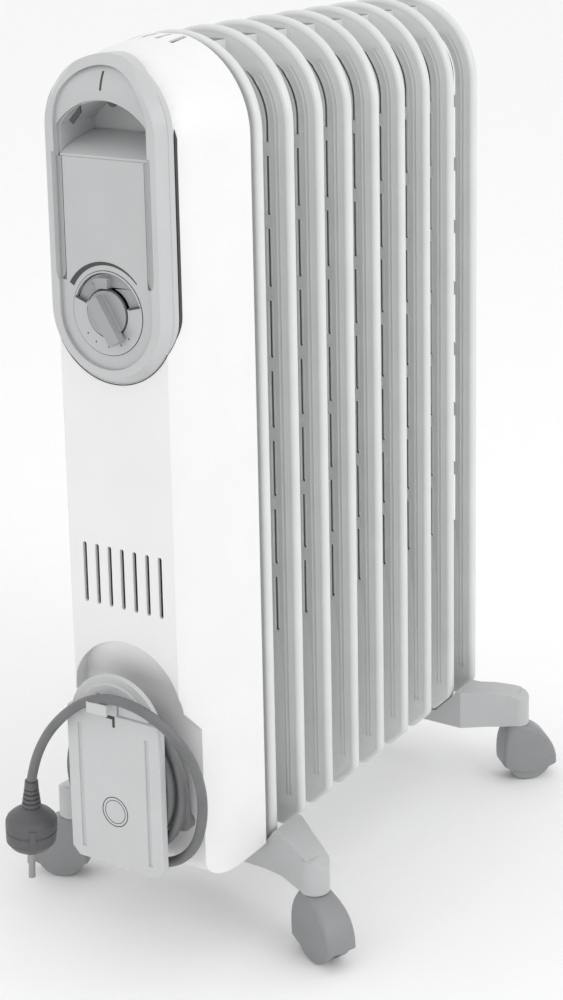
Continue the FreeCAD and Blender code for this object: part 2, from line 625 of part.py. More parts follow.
def wrap_flange():
    """White arched flange that rises above the plate and keeps the turns in."""
    y0 = WRAP_PLATE_BACK - 4.0
    flange = arch_prism(38.0, WRAP_PLATE_BOTTOM, WRAP_ARCH_TOP, 5.0, y0, WRAP_PLATE_BACK)
    step = arch_prism(32.0, WRAP_PLATE_BOTTOM, WRAP_ARCH_TOP - 6, 5.0, y0 - 1.5, y0)
    step = step.cut(box(-13.5, 4.5, y0 - 5, y0, 0, HOOK_TOP + 0.5))
    above_plate = box(-50, 50, y0 - 5, WRAP_PLATE_BACK + 5, WRAP_PLATE_TOP, WRAP_ARCH_TOP + 5)
    return flange.fuse(step).common(above_plate)


def wrap_screws():
    """Two screws that hold the plate to the spool's posts from behind."""
    middle = (SPOOL_BOTTOM + SPOOL_TOP) / 2
    return Part.makeCompound([
        rod(4.5, (0, SCOOP_FLOOR + CASING_WALL, middle + dz), (0, SCOOP_FLOOR + CASING_WALL + 3, middle + dz))
        for dz in (-POST_OFFSET, POST_OFFSET)])


# ---- feet and castors -----------------------------------------------------------------------------
def foot(root_front, root_back, boss_y):
    """One-piece foot under the fins: a bridge, two arms that rise outside the fins, and two bosses."""
    side = 1 if boss_y > (root_front + root_back) / 2 else -1
    near, far = (root_back, root_front) if side > 0 else (root_front, root_back)
    z0 = FOOT_BOTTOM
    plan = [(0, near, z0), (62, near, z0), (78, near + side * 3, z0),
            (BOSS_X - 6, boss_y + side * (BOSS_RADIUS - 2), z0), (BOSS_X, boss_y + side * BOSS_RADIUS, z0),
            (BOSS_X + 4, boss_y - side * (BOSS_RADIUS - 1), z0),
            (90, boss_y - side * 23, z0), (74, far, z0), (0, far, z0)]
    blank = polygon_prism(plan, (0, 0, 60))
    boss = rod(BOSS_RADIUS, (BOSS_X, boss_y, z0), (BOSS_X, boss_y, BOSS_TOP))
    profile = [(-1, -100, z0), (-1, -100, FIN_BOTTOM), (50.5, -100, FIN_BOTTOM), (66.5, -100, 74.0),
               (70, -100, 79.0), (88, -100, 78.0), (108, -100, 74.0), (121, -100, 68.0), (121, -100, z0)]
    side_view = polygon_prism(profile, (0, 600, 0))
    half = blank.fuse(boss).common(side_view)
    half = half.cut(rod(STEM_RADIUS + 0.1, (BOSS_X, boss_y, z0 - 1), (BOSS_X, boss_y, z0 + 18)))
    whole = half.fuse(mirrored_x(half))
    middle_y = u_bolt_y(boss_y)
    holes = [rod(U_BOLT_ROD + 0.3, (x, middle_y, z0 - 1), (x, middle_y, z0 + 10))
             for x in (-U_BOLT_RADIUS, U_BOLT_RADIUS)]
    return whole.cut(holes)


def u_bolt_y(boss_y):
    """The gap between two fins that the foot's bolt stands in."""
    return FIN_PITCH / 2 if boss_y < 100 else stack_end() - FIN_PITCH / 2


def u_bolt(boss_y):
    """U-bolt over the lower header, through the foot."""
    y = u_bolt_y(boss_y)
    arc = Part.Arc(Vector(U_BOLT_RADIUS, y, HUB_HEIGHT), Vector(0, y, HUB_HEIGHT + U_BOLT_RADIUS),
                   Vector(-U_BOLT_RADIUS, y, HUB_HEIGHT))
    ring = Part.makeTorus(U_BOLT_RADIUS, U_BOLT_ROD, Vector(0, y, HUB_HEIGHT), AXIS_Y)
    ring = ring.common(box(-60, 60, y - 10, y + 10, HUB_HEIGHT, HUB_HEIGHT + 60))
    legs = [rod(U_BOLT_ROD, (x, y, 42), (x, y, HUB_HEIGHT)) for x in (-U_BOLT_RADIUS, U_BOLT_RADIUS)]
    return ring.fuse(legs)


def wing_nuts(boss_y):
    """Two wing nuts under a foot."""
    y = u_bolt_y(boss_y)
    nuts = []
    for x in (-U_BOLT_RADIUS, U_BOLT_RADIUS):
        hub = rod(6.0, (x, y, FOOT_BOTTOM - 5), (x, y, FOOT_BOTTOM))
        wings = box(x - 14, x + 14, y - 1.2, y + 1.2, FOOT_BOTTOM - 8, FOOT_BOTTOM - 1)
        nuts.append(hub.fuse(wings).cut(rod(U_BOLT_ROD, (x, y, 30), (x, y, 60))))
    return nuts


def place_castor(shape, side, boss_y, turn):
    """Turn a castor part about its stem and put it under a boss; side is 1 on the right, -1 left."""
    placed = shape.rotated(Vector(0, 0, 0), AXIS_Z, turn if side > 0 else 180 - turn)
    return placed.translated(Vector(side * BOSS_X, boss_y, 0))


def castor_hood():
    """Hood over both wheels with a middle web, trailing towards +X from its stem."""
    c = CASTOR_TRAIL
    z = WHEEL_RADIUS
    w = HOOD_HALF_WIDTH
    top = FOOT_BOTTOM - 0.5
    body = rod(HOOD_RADIUS, (c, -w, z), (c, w, z))
    neck = rod(9.5, (0, 0, z + 10), (0, 0, top))
    body = body.fuse(neck)
    for side in (-1, 1):
        y_in = side * WEB_HALF_WIDTH
        y_out = side * (w - 1.5)
        body = body.cut(rod(HOOD_RADIUS - 2.0, (c, y_in, z), (c, y_out, z)))
    hub = box(c - 4, c + 4, -w, w, z - 5, z + 5).common(rod(4.5, (c, -w, z), (c, w, z)))
    wheel_rooms = [box(c - 9, c + 9, WEB_HALF_WIDTH, w - 1.5, 0, 60),
                   box(c - 9, c + 9, -w + 1.5, -WEB_HALF_WIDTH, 0, 60)]
    body = body.fuse(hub.cut(wheel_rooms))
    body = body.cut(box(c - 40, c + 40, -w - 1, w + 1, -20, HOOD_SKIRT))
    body = body.cut(rod(AXLE_RADIUS, (c, -w + 0.6, z), (c, w - 0.6, z)))
    return body.cut(rod(STEM_RADIUS, (0, 0, z + 21), (0, 0, top + 1)))


def castor_pins():
    """Steel stem that turns in the foot's boss, and the wheels' axle, both pressed in the hood."""
    w = HOOD_HALF_WIDTH - 0.6
    stem = rod(STEM_RADIUS, (0, 0, WHEEL_RADIUS + 21), (0, 0, FOOT_BOTTOM + 17.0))
    axle = rod(AXLE_RADIUS, (CASTOR_TRAIL, -w, WHEEL_RADIUS), (CASTOR_TRAIL, w, WHEEL_RADIUS))
    return Part.makeCompound([stem, axle])


def castor_wheel(side):
    """One wheel of the pair, with a recessed hub."""
    c = CASTOR_TRAIL
    y0 = side * (WEB_HALF_WIDTH + 0.4)
    y1 = y0 + side * WHEEL_WIDTH
    z = WHEEL_RADIUS
    edge = 0.8
    outward = Vector(0, side, 0)
    inner = Part.makeCone(WHEEL_RADIUS - edge, WHEEL_RADIUS, edge, Vector(c, y0, z), outward)
    outer = Part.makeCone(WHEEL_RADIUS, WHEEL_RADIUS - edge, edge, Vector(c, y1 - side * edge, z), outward)
    tread = rod(WHEEL_RADIUS, (c, y0 + side * edge, z), (c, y1 - side * edge, z))
    body = inner.fuse([tread, outer])
    return body.cut(rod(AXLE_RADIUS + 0.06, (c, y0 - side, z), (c, y1 + side, z)))


# ---- cord -----------------------------------------------------------------------------------------
def cord_gland():
    """Elbow gland with a tapered sleeve that leads the cord out of the casing into the coil."""
    x, z = GLAND_START
    start = Vector(x, GLAND_Y, z)
    axis = Vector(GLAND_END[0], GLAND_Y, GLAND_END[1]) - start
    sleeve = Part.makeCone(5.5, CORD_RADIUS + 0.6, axis.Length, start, axis)
    stub = rod(5.5, (x, SCOOP_FLOOR + CASING_WALL + 4, z), (x, GLAND_Y, z))
    nut = rod(8.5, (x, SCOOP_FLOOR + CASING_WALL + 4, z), (x, SCOOP_FLOOR + CASING_WALL, z))
    elbow = Part.makeSphere(5.5, start)
    return sleeve.fuse([stub, nut, elbow])


def cord_coil():
    """Outer shape of the turns wound round the spool."""
    outer = stadium_prism(COIL_OUTER, COIL_LOW_CENTRE, COIL_HIGH_CENTRE, COIL_FRONT, COIL_BACK)
    low = SPOOL_BOTTOM - 3 + COIL_INNER
    high = SPOOL_TOP + 3 - COIL_INNER
    hole = stadium_prism(COIL_INNER, low, high, COIL_FRONT - 1, COIL_BACK + 1)
    x, z = GLAND_START
    gland_room = box(x - 6.5, x + 6.5, GLAND_Y - 6.5, COIL_BACK + 1, z - 10, GLAND_END[1])
    return outer.cut([hole, gland_room])


def rounded_path(points):
    """Straight runs joined by tangent arcs as large as the runs allow; prints the smallest radius."""
    points = [Vector(*point) for point in points]
    edges = []
    radii = []
    start = points[0]
    for before, corner, after in zip(points, points[1:], points[2:]):
        back = (before - corner)
        ahead = (after - corner)
        reach = 0.45 * min(back.Length, ahead.Length)
        back = Vector(back).normalize()
        ahead = Vector(ahead).normalize()
        half_turn = (math.pi - back.getAngle(ahead)) / 2
        radius = reach / math.tan(half_turn)
        radii.append(radius)
        enter = corner + back * reach
        leave = corner + ahead * reach
        bisector = Vector(back + ahead).normalize()
        middle = corner + bisector * (radius / math.cos(half_turn) - radius)
        edges.append(Part.LineSegment(start, enter).toShape())
        edges.append(Part.Arc(enter, middle, leave).toShape())
        start = leave
    edges.append(Part.LineSegment(start, points[-1]).toShape())
    print("bend radii", [round(radius) for radius in radii])
    return Part.Wire(edges)


def cord_lead():
    """The lead's tube from the coil to the plug."""
    path = rounded_path(LEAD_ROUTE)
    start = Vector(*LEAD_ROUTE[0])
    direction = Vector(*LEAD_ROUTE[1]) - start
    profile = Part.Wire(Part.Circle(start, direction, CORD_RADIUS).toShape())
    lead = path.makePipeShell([profile], True, False)
    section = math.pi * CORD_RADIUS ** 2
    print("lead length", round(path.Length), "volume ratio", round(lead.Volume / (section * path.Length), 4))
    return lead


def plug_point(distance):
    """Point on the plug's axis at a distance below the lead's end."""
    return Vector(*PLUG_TOP) + Vector(*PLUG_LEAN).normalize() * distance


def plug_body():
    """Moulded plug: ribbed strain relief, shoulders and a round face."""
    axis = Vector(*PLUG_LEAN)
    relief = Part.makeCone(CORD_RADIUS + 1.0, 7.0, 20.0, plug_point(0), axis)
    shoulder = Part.makeCone(9.0, PLUG_RADIUS, 10.0, plug_point(19), axis)
    face = Part.makeCylinder(PLUG_RADIUS, PLUG_LENGTH - 29.0, plug_point(29), axis)
    return relief.fuse([shoulder, face])


def plug_pins():
    """Two round pins, one behind the other as seen from the front."""
    pins = []
    spread = Vector(*PIN_SPREAD).normalize()
    for offset in (-9.5, 9.5):
        base = plug_point(PLUG_LENGTH) + spread * offset
        pins.append(Part.makeCylinder(PIN_RADIUS, PIN_LENGTH, base, Vector(*PLUG_LEAN)))
    return Part.makeCompound(pins)


# ---- the object -----------------------------------------------------------------------------------
def save_fin_stack():
    """Fins and what is in them."""
    for index in range(FIN_COUNT):
        save("fin_%d" % (index + 1), fin(index))
    save("filler_plug", filler_plug())
    save("element_flange", element_flange())
    save("heating_element", heating_element())


def save_front():
    """Casing, panel, controls and the parts behind them."""
    makers = (heat_shield, bezel, control_panel, handle_cup, pilot_lens, pilot_lamp, dial_plate,
              thermostat_ring, thermostat_shaft, thermostat, selector_knob, selector_shaft,
              selector_switch, terminal_block, thermal_cutout, casing_screws)
    save("front_casing", casing())
    for maker in makers:
        save(maker.__name__, maker())


def save_wrap():
    """Cord wrap and the cord."""
    for maker in (wrap_spool, wrap_plate, wrap_flange, wrap_screws, cord_gland, cord_coil, cord_lead,
                  plug_body, plug_pins):
        save(maker.__name__, maker())


def save_feet():
    """Both feet with their bolts, and the four castors."""
    boss_depths = (FRONT_BOSS_Y, REAR_BOSS_Y)
    save("u_bolts", Part.makeCompound([u_bolt(boss_y) for boss_y in boss_depths]))
    save("wing_nuts", Part.makeCompound([nut for boss_y in boss_depths for nut in wing_nuts(boss_y)]))
    ends = (("front", FRONT_BOSS_Y, -6.0, 24.0, FRONT_CASTOR_TURN),
            ("rear", REAR_BOSS_Y, 264.0, 290.0, REAR_CASTOR_TURN))
    for end, boss_y, root_front, root_back, turn in ends:
        save("foot_" + end, foot(root_front, root_back, boss_y))
        for side_name, side in (("right", 1), ("left", -1)):
            tail = "_%s_%s" % (end, side_name)
            save("castor_hood" + tail, place_castor(castor_hood(), side, boss_y, turn))
            save("castor_pins" + tail, place_castor(castor_pins(), side, boss_y, turn))
            for letter, wheel_side in (("a", -1), ("b", 1)):
                wheel = place_castor(castor_wheel(wheel_side), side, boss_y, turn)
                save("wheel" + tail + "_" + letter, wheel)


def main():
    """Write every sub-part and print the object's box without its cord."""
    os.makedirs("parts", exist_ok=True)
    save_fin_stack()
    save_front()
    save_wrap()
    save_feet()
    cord = ("cord_gland", "cord_coil", "cord_lead", "plug_body", "plug_pins")
    whole = Part.makeCompound([shape for name, shape in SAVED.items() if name not in cord]).BoundBox
    print(len(SAVED), "nodes; box", [round(value, 2) for value in
          (whole.XMin, whole.XMax, whole.YMin, whole.YMax, whole.ZMin, whole.ZMax)])


main()
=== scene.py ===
"""Looks of the oil filled radiator heater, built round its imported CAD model.

Metres, +Z up, the control panel towards -Y. The dimensions named below are in millimetres.
"""

import json
import math

import bmesh
import bpy
from mathutils import Matrix, Vector

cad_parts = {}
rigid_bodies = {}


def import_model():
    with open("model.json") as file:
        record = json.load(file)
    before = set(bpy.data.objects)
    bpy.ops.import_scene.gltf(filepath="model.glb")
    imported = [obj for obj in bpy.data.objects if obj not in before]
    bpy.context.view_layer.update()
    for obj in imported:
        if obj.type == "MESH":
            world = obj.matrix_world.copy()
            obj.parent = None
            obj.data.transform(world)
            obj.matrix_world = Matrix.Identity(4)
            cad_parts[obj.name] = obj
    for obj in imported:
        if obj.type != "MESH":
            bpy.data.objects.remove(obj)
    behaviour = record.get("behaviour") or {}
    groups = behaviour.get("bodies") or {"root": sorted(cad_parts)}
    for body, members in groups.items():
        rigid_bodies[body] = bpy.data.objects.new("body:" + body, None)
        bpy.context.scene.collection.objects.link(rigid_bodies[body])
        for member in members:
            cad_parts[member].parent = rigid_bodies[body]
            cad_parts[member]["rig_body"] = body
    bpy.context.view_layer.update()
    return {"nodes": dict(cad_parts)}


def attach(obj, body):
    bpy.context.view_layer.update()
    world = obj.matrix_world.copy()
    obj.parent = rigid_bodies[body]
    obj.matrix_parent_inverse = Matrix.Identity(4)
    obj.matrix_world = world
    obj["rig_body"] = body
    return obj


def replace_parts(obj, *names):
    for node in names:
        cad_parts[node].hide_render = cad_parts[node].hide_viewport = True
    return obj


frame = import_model()

MM = 0.001
DEPTH_SHIFT = -112.05        # from the first fin's plane to the object's middle, as in the CAD source
FIN_COUNT = 9
FIN_PITCH = 37.7
FIN_HALF_WIDTH = 65.5
FIN_BOTTOM = 58.0
FIN_TOP = 638.0
ARCH_CENTRE = 572.5
BOSS_X = 107.0               # the castors' stems stand this far out
DIAL_Z = 462.0
PANEL_FACE = -81.5           # depth of the control panel's face
CASING_FACE = -77.0
BEZEL_FACE = -84.0
PLATE_FACE = -95.0           # depth of the cord wrap plate's face
FACET_FROM = 43.8            # half width of the casing's flat front
FACET_SLOPE = 1.0            # how fast the next facet slopes back up to the bezel's edge
BEZEL_EDGE = 49.9            # half width of the gap line round the bezel
BEZEL_LOW_CENTRE = 463.0
WINDOW_ENDS = (15.0, 161.0)  # the dial window's ends, degrees from +X


def at(x, y, z):
    """Point given as in the CAD source, in the frame's metres."""
    return Vector((x * MM, (y + DEPTH_SHIFT) * MM, z * MM))


# ---- camera ---------------------------------------------------------------------------------------
CAMERA_PLACE = (784.91, -1070.47, 766.86)
CAMERA_YAW = 0.5813          # radians; it looks left of +Y
CAMERA_PITCH = 0.2228        # and down
CAMERA_ROLL = -0.0196
CAMERA_LENS = 71.79
CAMERA_SENSOR = 36.0
CAMERA_SHIFT = -0.22
CAMERA_REACH = 50.0          # metres that it sees


def make_camera():
    """Camera at the photograph's viewing angle, from the right and above."""
    level_right = Vector((math.cos(CAMERA_YAW), math.sin(CAMERA_YAW), 0))
    level_ahead = Vector((-math.sin(CAMERA_YAW), math.cos(CAMERA_YAW), 0))
    upright = Vector((0, 0, 1))
    ahead = level_ahead * math.cos(CAMERA_PITCH) - upright * math.sin(CAMERA_PITCH)
    level_up = upright * math.cos(CAMERA_PITCH) + level_ahead * math.sin(CAMERA_PITCH)
    right = level_right * math.cos(CAMERA_ROLL) + level_up * math.sin(CAMERA_ROLL)
    up = level_up * math.cos(CAMERA_ROLL) - level_right * math.sin(CAMERA_ROLL)
    data = bpy.data.cameras.new("camera")
    data.lens = CAMERA_LENS
    data.sensor_width = CAMERA_SENSOR
    data.shift_y = CAMERA_SHIFT
    data.clip_end = CAMERA_REACH
    camera = bpy.data.objects.new("camera", data)
    bpy.context.scene.collection.objects.link(camera)
    turn = Matrix((right, up, -ahead)).transposed().to_4x4()
    camera.matrix_world = Matrix.Translation(at(*CAMERA_PLACE)) @ turn
    bpy.context.scene.camera = camera


# ---- materials ------------------------------------------------------------------------------------
COAT_ROUGHNESS = 0.12
GLOSS_SPREAD = 0.15          # how far the roughness wanders either way
TINT_RANGE = (0.3, 0.7)      # the noise values between which the colour changes
GRAIN_HEIGHT = 0.0004        # metres


def material(name, colour, rough, metal=0.0, mottle=0.03, mottle_scale=30.0, bump=0.02, bump_scale=900.0,
             coat=0.0):
    """Procedural finish: a slightly uneven colour, uneven gloss and a fine surface grain."""
    made = bpy.data.materials.new(name)
    made.use_nodes = True
    tree = made.node_tree
    shader = tree.nodes["Principled BSDF"]
    shader.inputs["Metallic"].default_value = metal
    shader.inputs["Coat Weight"].default_value = coat
    shader.inputs["Coat Roughness"].default_value = COAT_ROUGHNESS
    place = tree.nodes.new("ShaderNodeTexCoord")

    large = tree.nodes.new("ShaderNodeTexNoise")
    large.inputs["Scale"].default_value = mottle_scale
    large.inputs["Detail"].default_value = 4.0
    tree.links.new(place.outputs["Object"], large.inputs["Vector"])

    tint = tree.nodes.new("ShaderNodeValToRGB")
    tint.color_ramp.elements[0].position = TINT_RANGE[0]
    tint.color_ramp.elements[1].position = TINT_RANGE[1]
    tint.color_ramp.elements[0].color = [c * (1 - mottle) for c in colour] + [1]
    tint.color_ramp.elements[1].color = [min(1.0, c * (1 + mottle)) for c in colour] + [1]
    tree.links.new(large.outputs["Fac"], tint.inputs["Fac"])
    tree.links.new(tint.outputs["Color"], shader.inputs["Base Color"])

    gloss = tree.nodes.new("ShaderNodeMapRange")
    gloss.inputs["To Min"].default_value = rough * (1 - GLOSS_SPREAD)
    gloss.inputs["To Max"].default_value = min(1.0, rough * (1 + GLOSS_SPREAD))
    tree.links.new(large.outputs["Fac"], gloss.inputs["Value"])
    tree.links.new(gloss.outputs["Result"], shader.inputs["Roughness"])

    fine = tree.nodes.new("ShaderNodeTexNoise")
    fine.inputs["Scale"].default_value = bump_scale
    fine.inputs["Detail"].default_value = 2.0
    tree.links.new(place.outputs["Object"], fine.inputs["Vector"])
    relief = tree.nodes.new("ShaderNodeBump")
    relief.inputs["Strength"].default_value = bump
    relief.inputs["Distance"].default_value = GRAIN_HEIGHT
    tree.links.new(fine.outputs["Fac"], relief.inputs["Height"])
    tree.links.new(relief.outputs["Normal"], shader.inputs["Normal"])
    return made


FINISHES = {
    "enamel": material("fin_enamel", (0.66, 0.67, 0.67), 0.32, bump=0.06, bump_scale=420.0, coat=0.25),
    "white": material("casing_white", (0.80, 0.80, 0.80), 0.42, mottle=0.012, bump=0.03),
    "bezel": material("bezel_silver", (0.53, 0.535, 0.54), 0.3, metal=0.25, mottle=0.02, bump=0.05,
                      bump_scale=1500.0),
    "panel": material("panel_silver", (0.50, 0.505, 0.51), 0.34, metal=0.25, mottle=0.02, bump=0.05,
                      bump_scale=1500.0),
    "recess": material("recess_grey", (0.52, 0.525, 0.53), 0.45, mottle=0.03, bump=0.05),
    # the knob's own grey, also painted shade on the panel's side grooves
    "knob": material("knob_grey_and_groove_shade", (0.36, 0.365, 0.37), 0.36, metal=0.2, bump=0.06),
    # painted shade: this dark grey stands for the shade on the oil channels' tops between the fins
    "channel": material("channel_top_painted_shade", (0.20, 0.205, 0.205), 0.45, bump=0.08),
    # painted shade: near black stands for the shade inside the fins' air slots
    "slot": material("slot_painted_shade", (0.02, 0.02, 0.021), 0.5, bump=0.05),
    # dark plastic, also painted shade in the casing's top vents and in the hook's hole
    "dark": material("dark_plastic", (0.035, 0.035, 0.038), 0.5, bump=0.1),
    "grip": material("grip_grey", (0.33, 0.34, 0.345), 0.42, bump=0.08),
    # print, also painted shade in the hand hole's upper left corner
    "ink": material("print_grey_and_painted_shade", (0.05, 0.051, 0.053), 0.5, bump=0.02),
    "plate": material("wrap_plate_grey", (0.55, 0.555, 0.56), 0.36, mottle=0.02, bump=0.05),
    "foot": material("foot_grey", (0.47, 0.475, 0.48), 0.42, mottle=0.03, bump=0.1),
    "hood": material("hood_grey", (0.25, 0.255, 0.26), 0.45, mottle=0.05, bump=0.14),
    "wheel": material("wheel_grey", (0.27, 0.275, 0.28), 0.5, mottle=0.06, bump=0.12),
    "cord": material("cord_grey", (0.15, 0.152, 0.156), 0.45, mottle=0.08, mottle_scale=80.0, bump=0.1),
    "plug": material("plug_grey", (0.10, 0.101, 0.105), 0.5, mottle=0.08, mottle_scale=60.0, bump=0.2),
    "steel": material("zinc_steel", (0.55, 0.55, 0.54), 0.3, metal=1.0, mottle=0.06, bump=0.08),
    "pin": material("nickel_pin", (0.34, 0.335, 0.32), 0.3, metal=1.0, mottle=0.04, bump=0.05),
    "lens": material("lens_dark", (0.05, 0.035, 0.03), 0.2, bump=0.02, coat=0.5),
}


# ---- mesh helpers ---------------------------------------------------------------------------------
WELD_DISTANCE = 1e-6         # metres
SHARP_DEGREES = 32.0         # edges sharper than this stay hard
PAINTED_SHARP_DEGREES = 35.0
BEVEL_DEGREES = 30.0         # edges sharper than this are rounded
BEVEL_SEGMENTS = 3
FLAT_DEGREES = 1.0           # faces that meet flatter than this are merged
CORNER_SHARE = 0.45          # the most of a side that one rounded corner takes
FIN_CORNER_RADIUS = 8.0


def link(name, data, finish, body):
    """New piece in a finish that rides on a body."""
    piece = bpy.data.objects.new(name, data)
    bpy.context.scene.collection.objects.link(piece)
    data.materials.clear()
    data.materials.append(FINISHES[finish])
    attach(piece, body)
    return piece


def smooth(mesh, degrees=SHARP_DEGREES):
    """Smooth shading with edges sharper than an angle kept hard."""
    bm = bmesh.new()
    bm.from_mesh(mesh)
    for face in bm.faces:
        face.smooth = True
    for edge in bm.edges:
        edge.smooth = edge.is_manifold and edge.calc_face_angle(0) < math.radians(degrees)
    bm.to_mesh(mesh)
    bm.free()


def mesh_from(name, bm):
    """Mesh data from a bmesh: welded, with outward normals and smooth shading."""
    bmesh.ops.remove_doubles(bm, verts=bm.verts, dist=WELD_DISTANCE)
    bmesh.ops.recalc_face_normals(bm, faces=bm.faces)
    data = bpy.data.meshes.new(name)
    bm.to_mesh(data)
    bm.free()
    smooth(data)
    return data


def bevel(piece, width):
    """Rounded edges, as a moulding or a pressing has them."""
    rounding = piece.modifiers.new("rounding", "BEVEL")
    rounding.width = width * MM
    rounding.segments = BEVEL_SEGMENTS
    rounding.limit_method = "ANGLE"
    rounding.angle_limit = math.radians(BEVEL_DEGREES)
    rounding.harden_normals = True


def softened(node, width, finish):
    """Copy of a CAD node with its flat faces merged and its edges rounded; it stands for the node."""
    source = frame["nodes"][node]
    bm = bmesh.new()
    bm.from_mesh(source.data)
    bmesh.ops.remove_doubles(bm, verts=bm.verts, dist=WELD_DISTANCE)
    bmesh.ops.dissolve_limit(bm, angle_limit=math.radians(FLAT_DEGREES), verts=bm.verts, edges=bm.edges)
    data = bpy.data.meshes.new(node + "_soft")
    bm.to_mesh(data)
    bm.free()
    smooth(data, BEVEL_DEGREES)
    piece = link(node + "_soft", data, finish, source["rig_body"])
    bevel(piece, width)
    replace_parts(piece, node)


def paint(node, finish):
    """Give a CAD node that stays its finish."""
    data = frame["nodes"][node].data
    for index in range(len(data.materials)):
        data.materials[index] = FINISHES[finish]
    if not data.materials:
        data.materials.append(FINISHES[finish])
    smooth(data, PAINTED_SHARP_DEGREES)


def detail(name, bm, finish):
    """New piece in a finish on the radiator body."""
    piece = link(name, mesh_from(name, bm), finish, "radiator")
    return piece


def filleted(points, radius, steps=5):
    """Closed 2-D outline with every corner rounded."""
    made = []
    count = len(points)
    for index in range(count):
        corner = Vector(points[index])
        back = Vector(points[index - 1]) - corner
        ahead = Vector(points[(index + 1) % count]) - corner
        half = back.angle(ahead) / 2
        reach = min(radius / math.tan(half), CORNER_SHARE * back.length, CORNER_SHARE * ahead.length)
        start = corner + back.normalized() * reach
        end = corner + ahead.normalized() * reach
        for k in range(steps + 1):
            t = k / steps
            made.append(start.lerp(corner, t).lerp(corner.lerp(end, t), t))
    return made


def fin_outline(half_width, bottom, top, chamfer, arc_steps=40):
    """Fin's outline in X and Z: chamfered, slightly rounded bottom corners and a half round top."""
    spring = top - half_width
    corners = [(-half_width, spring), (-half_width, bottom + chamfer), (-half_width + chamfer, bottom),
               (half_width - chamfer, bottom), (half_width, bottom + chamfer), (half_width, spring)]
    low = filleted(corners, FIN_CORNER_RADIUS)
    skip = len(low) // len(corners)     # the first and last corner belong to the arch
    points = low[skip:-skip]
    for k in range(arc_steps + 1):
        angle = math.pi * k / arc_steps
        points.append(Vector((half_width * math.cos(angle), spring + half_width * math.sin(angle))))
    return points


def join_rows(bm, a, b):
    """Strip of faces between two matching rows of vertices."""
    for k in range(len(a) - 1):
        bm.faces.new((a[k], b[k], b[k + 1], a[k + 1]))


def join_rings(bm, a, b):
    """Band of faces between two matching closed rings of vertices."""
    join_rows(bm, a + a[:1], b + b[:1])


def sweep_closed(bm, outline, section, y):
    """Sweep a section of (inward, depth) points round a closed outline in X and Z."""
    rings = []
    count = len(outline)
    for index, point in enumerate(outline):
        tangent = (outline[(index + 1) % count] - outline[index - 1]).normalized()
        inward = Vector((-tangent.y, tangent.x))
        ring = []
        for n, d in section:
            ring.append(bm.verts.new(at(point.x + inward.x * n, y + d, point.y + inward.y * n)))
        rings.append(ring)
    for index in range(count):
        join_rows(bm, rings[index], rings[(index + 1) % count])


def sweep_open(bm, path, section, depths):
    """Sweep a section along an open path in X and Z at given depths; it fades out at both ends."""
    rings = []
    last = len(path) - 1
    for index, point in enumerate(path):
        tangent = (path[min(index + 1, last)] - path[max(index - 1, 0)]).normalized()
        across = Vector((-tangent.y, tangent.x))
        rise = 0.0 if index in (0, last) else 1.0
        ring = []
        for n, d in section:
            depth = depths[index] + d * rise
            ring.append(bm.verts.new(at(point.x + across.x * n, depth, point.y + across.y * n)))
        rings.append(ring)
    for a, b in zip(rings, rings[1:]):
        join_rows(bm, a, b)


def revolve(bm, profile, start, axis, steps):
    """Closed surface of (distance along, radius) points turned about an axis, which can't be exactly +Y."""
    axis = Vector(axis).normalized()
    side = axis.cross(Vector((0, 1, 0))).normalized()
    other = axis.cross(side).normalized()
    rings = []
    for along, radius in profile:
        ring = []
        for k in range(steps):
            angle = 2 * math.pi * k / steps
            ring.append(bm.verts.new(start + (axis * along + side * radius * math.cos(angle)
                                              + other * radius * math.sin(angle)) * MM))
        rings.append(ring)
    for a, b in zip(rings, rings[1:]):
        join_rings(bm, a, b)
    bm.faces.new(rings[0])
    bm.faces.new(rings[-1])


def closed_prism(bm, near_places, far_places):
    """Closed prism between two matching lists of places."""
    near = [bm.verts.new(place) for place in near_places]
    far = [bm.verts.new(place) for place in far_places]
    join_rings(bm, near, far)
    bm.faces.new(near)
    bm.faces.new(far)


def prism(bm, outline, y0, y1):
    """Closed prism of an outline in X and Z between two depths."""
    closed_prism(bm, [at(x, y0, z) for x, z in outline], [at(x, y1, z) for x, z in outline])


def side_prism(bm, outline, x0, x1):
    """Closed prism of an outline in Y and Z between two widths."""
    closed_prism(bm, [at(x0, y, z) for y, z in outline], [at(x1, y, z) for y, z in outline])


def band(bm, inner, outer, y0, y1):
    """Arc band round the dial's axis between two lists of (degrees, radius), from +X towards +Z."""
    rows = []
    for line, y in ((inner, y0), (outer, y0), (outer, y1), (inner, y1)):
        row = []
        for degrees, radius in line:
            angle = math.radians(degrees)
            row.append(bm.verts.new(at(radius * math.cos(angle), y, DIAL_Z + radius * math.sin(angle))))
        rows.append(row)
    for a, b in zip(rows, rows[1:] + rows[:1]):
        join_rows(bm, a, b)
    for k in (0, -1):
        bm.faces.new([row[k] for row in rows])


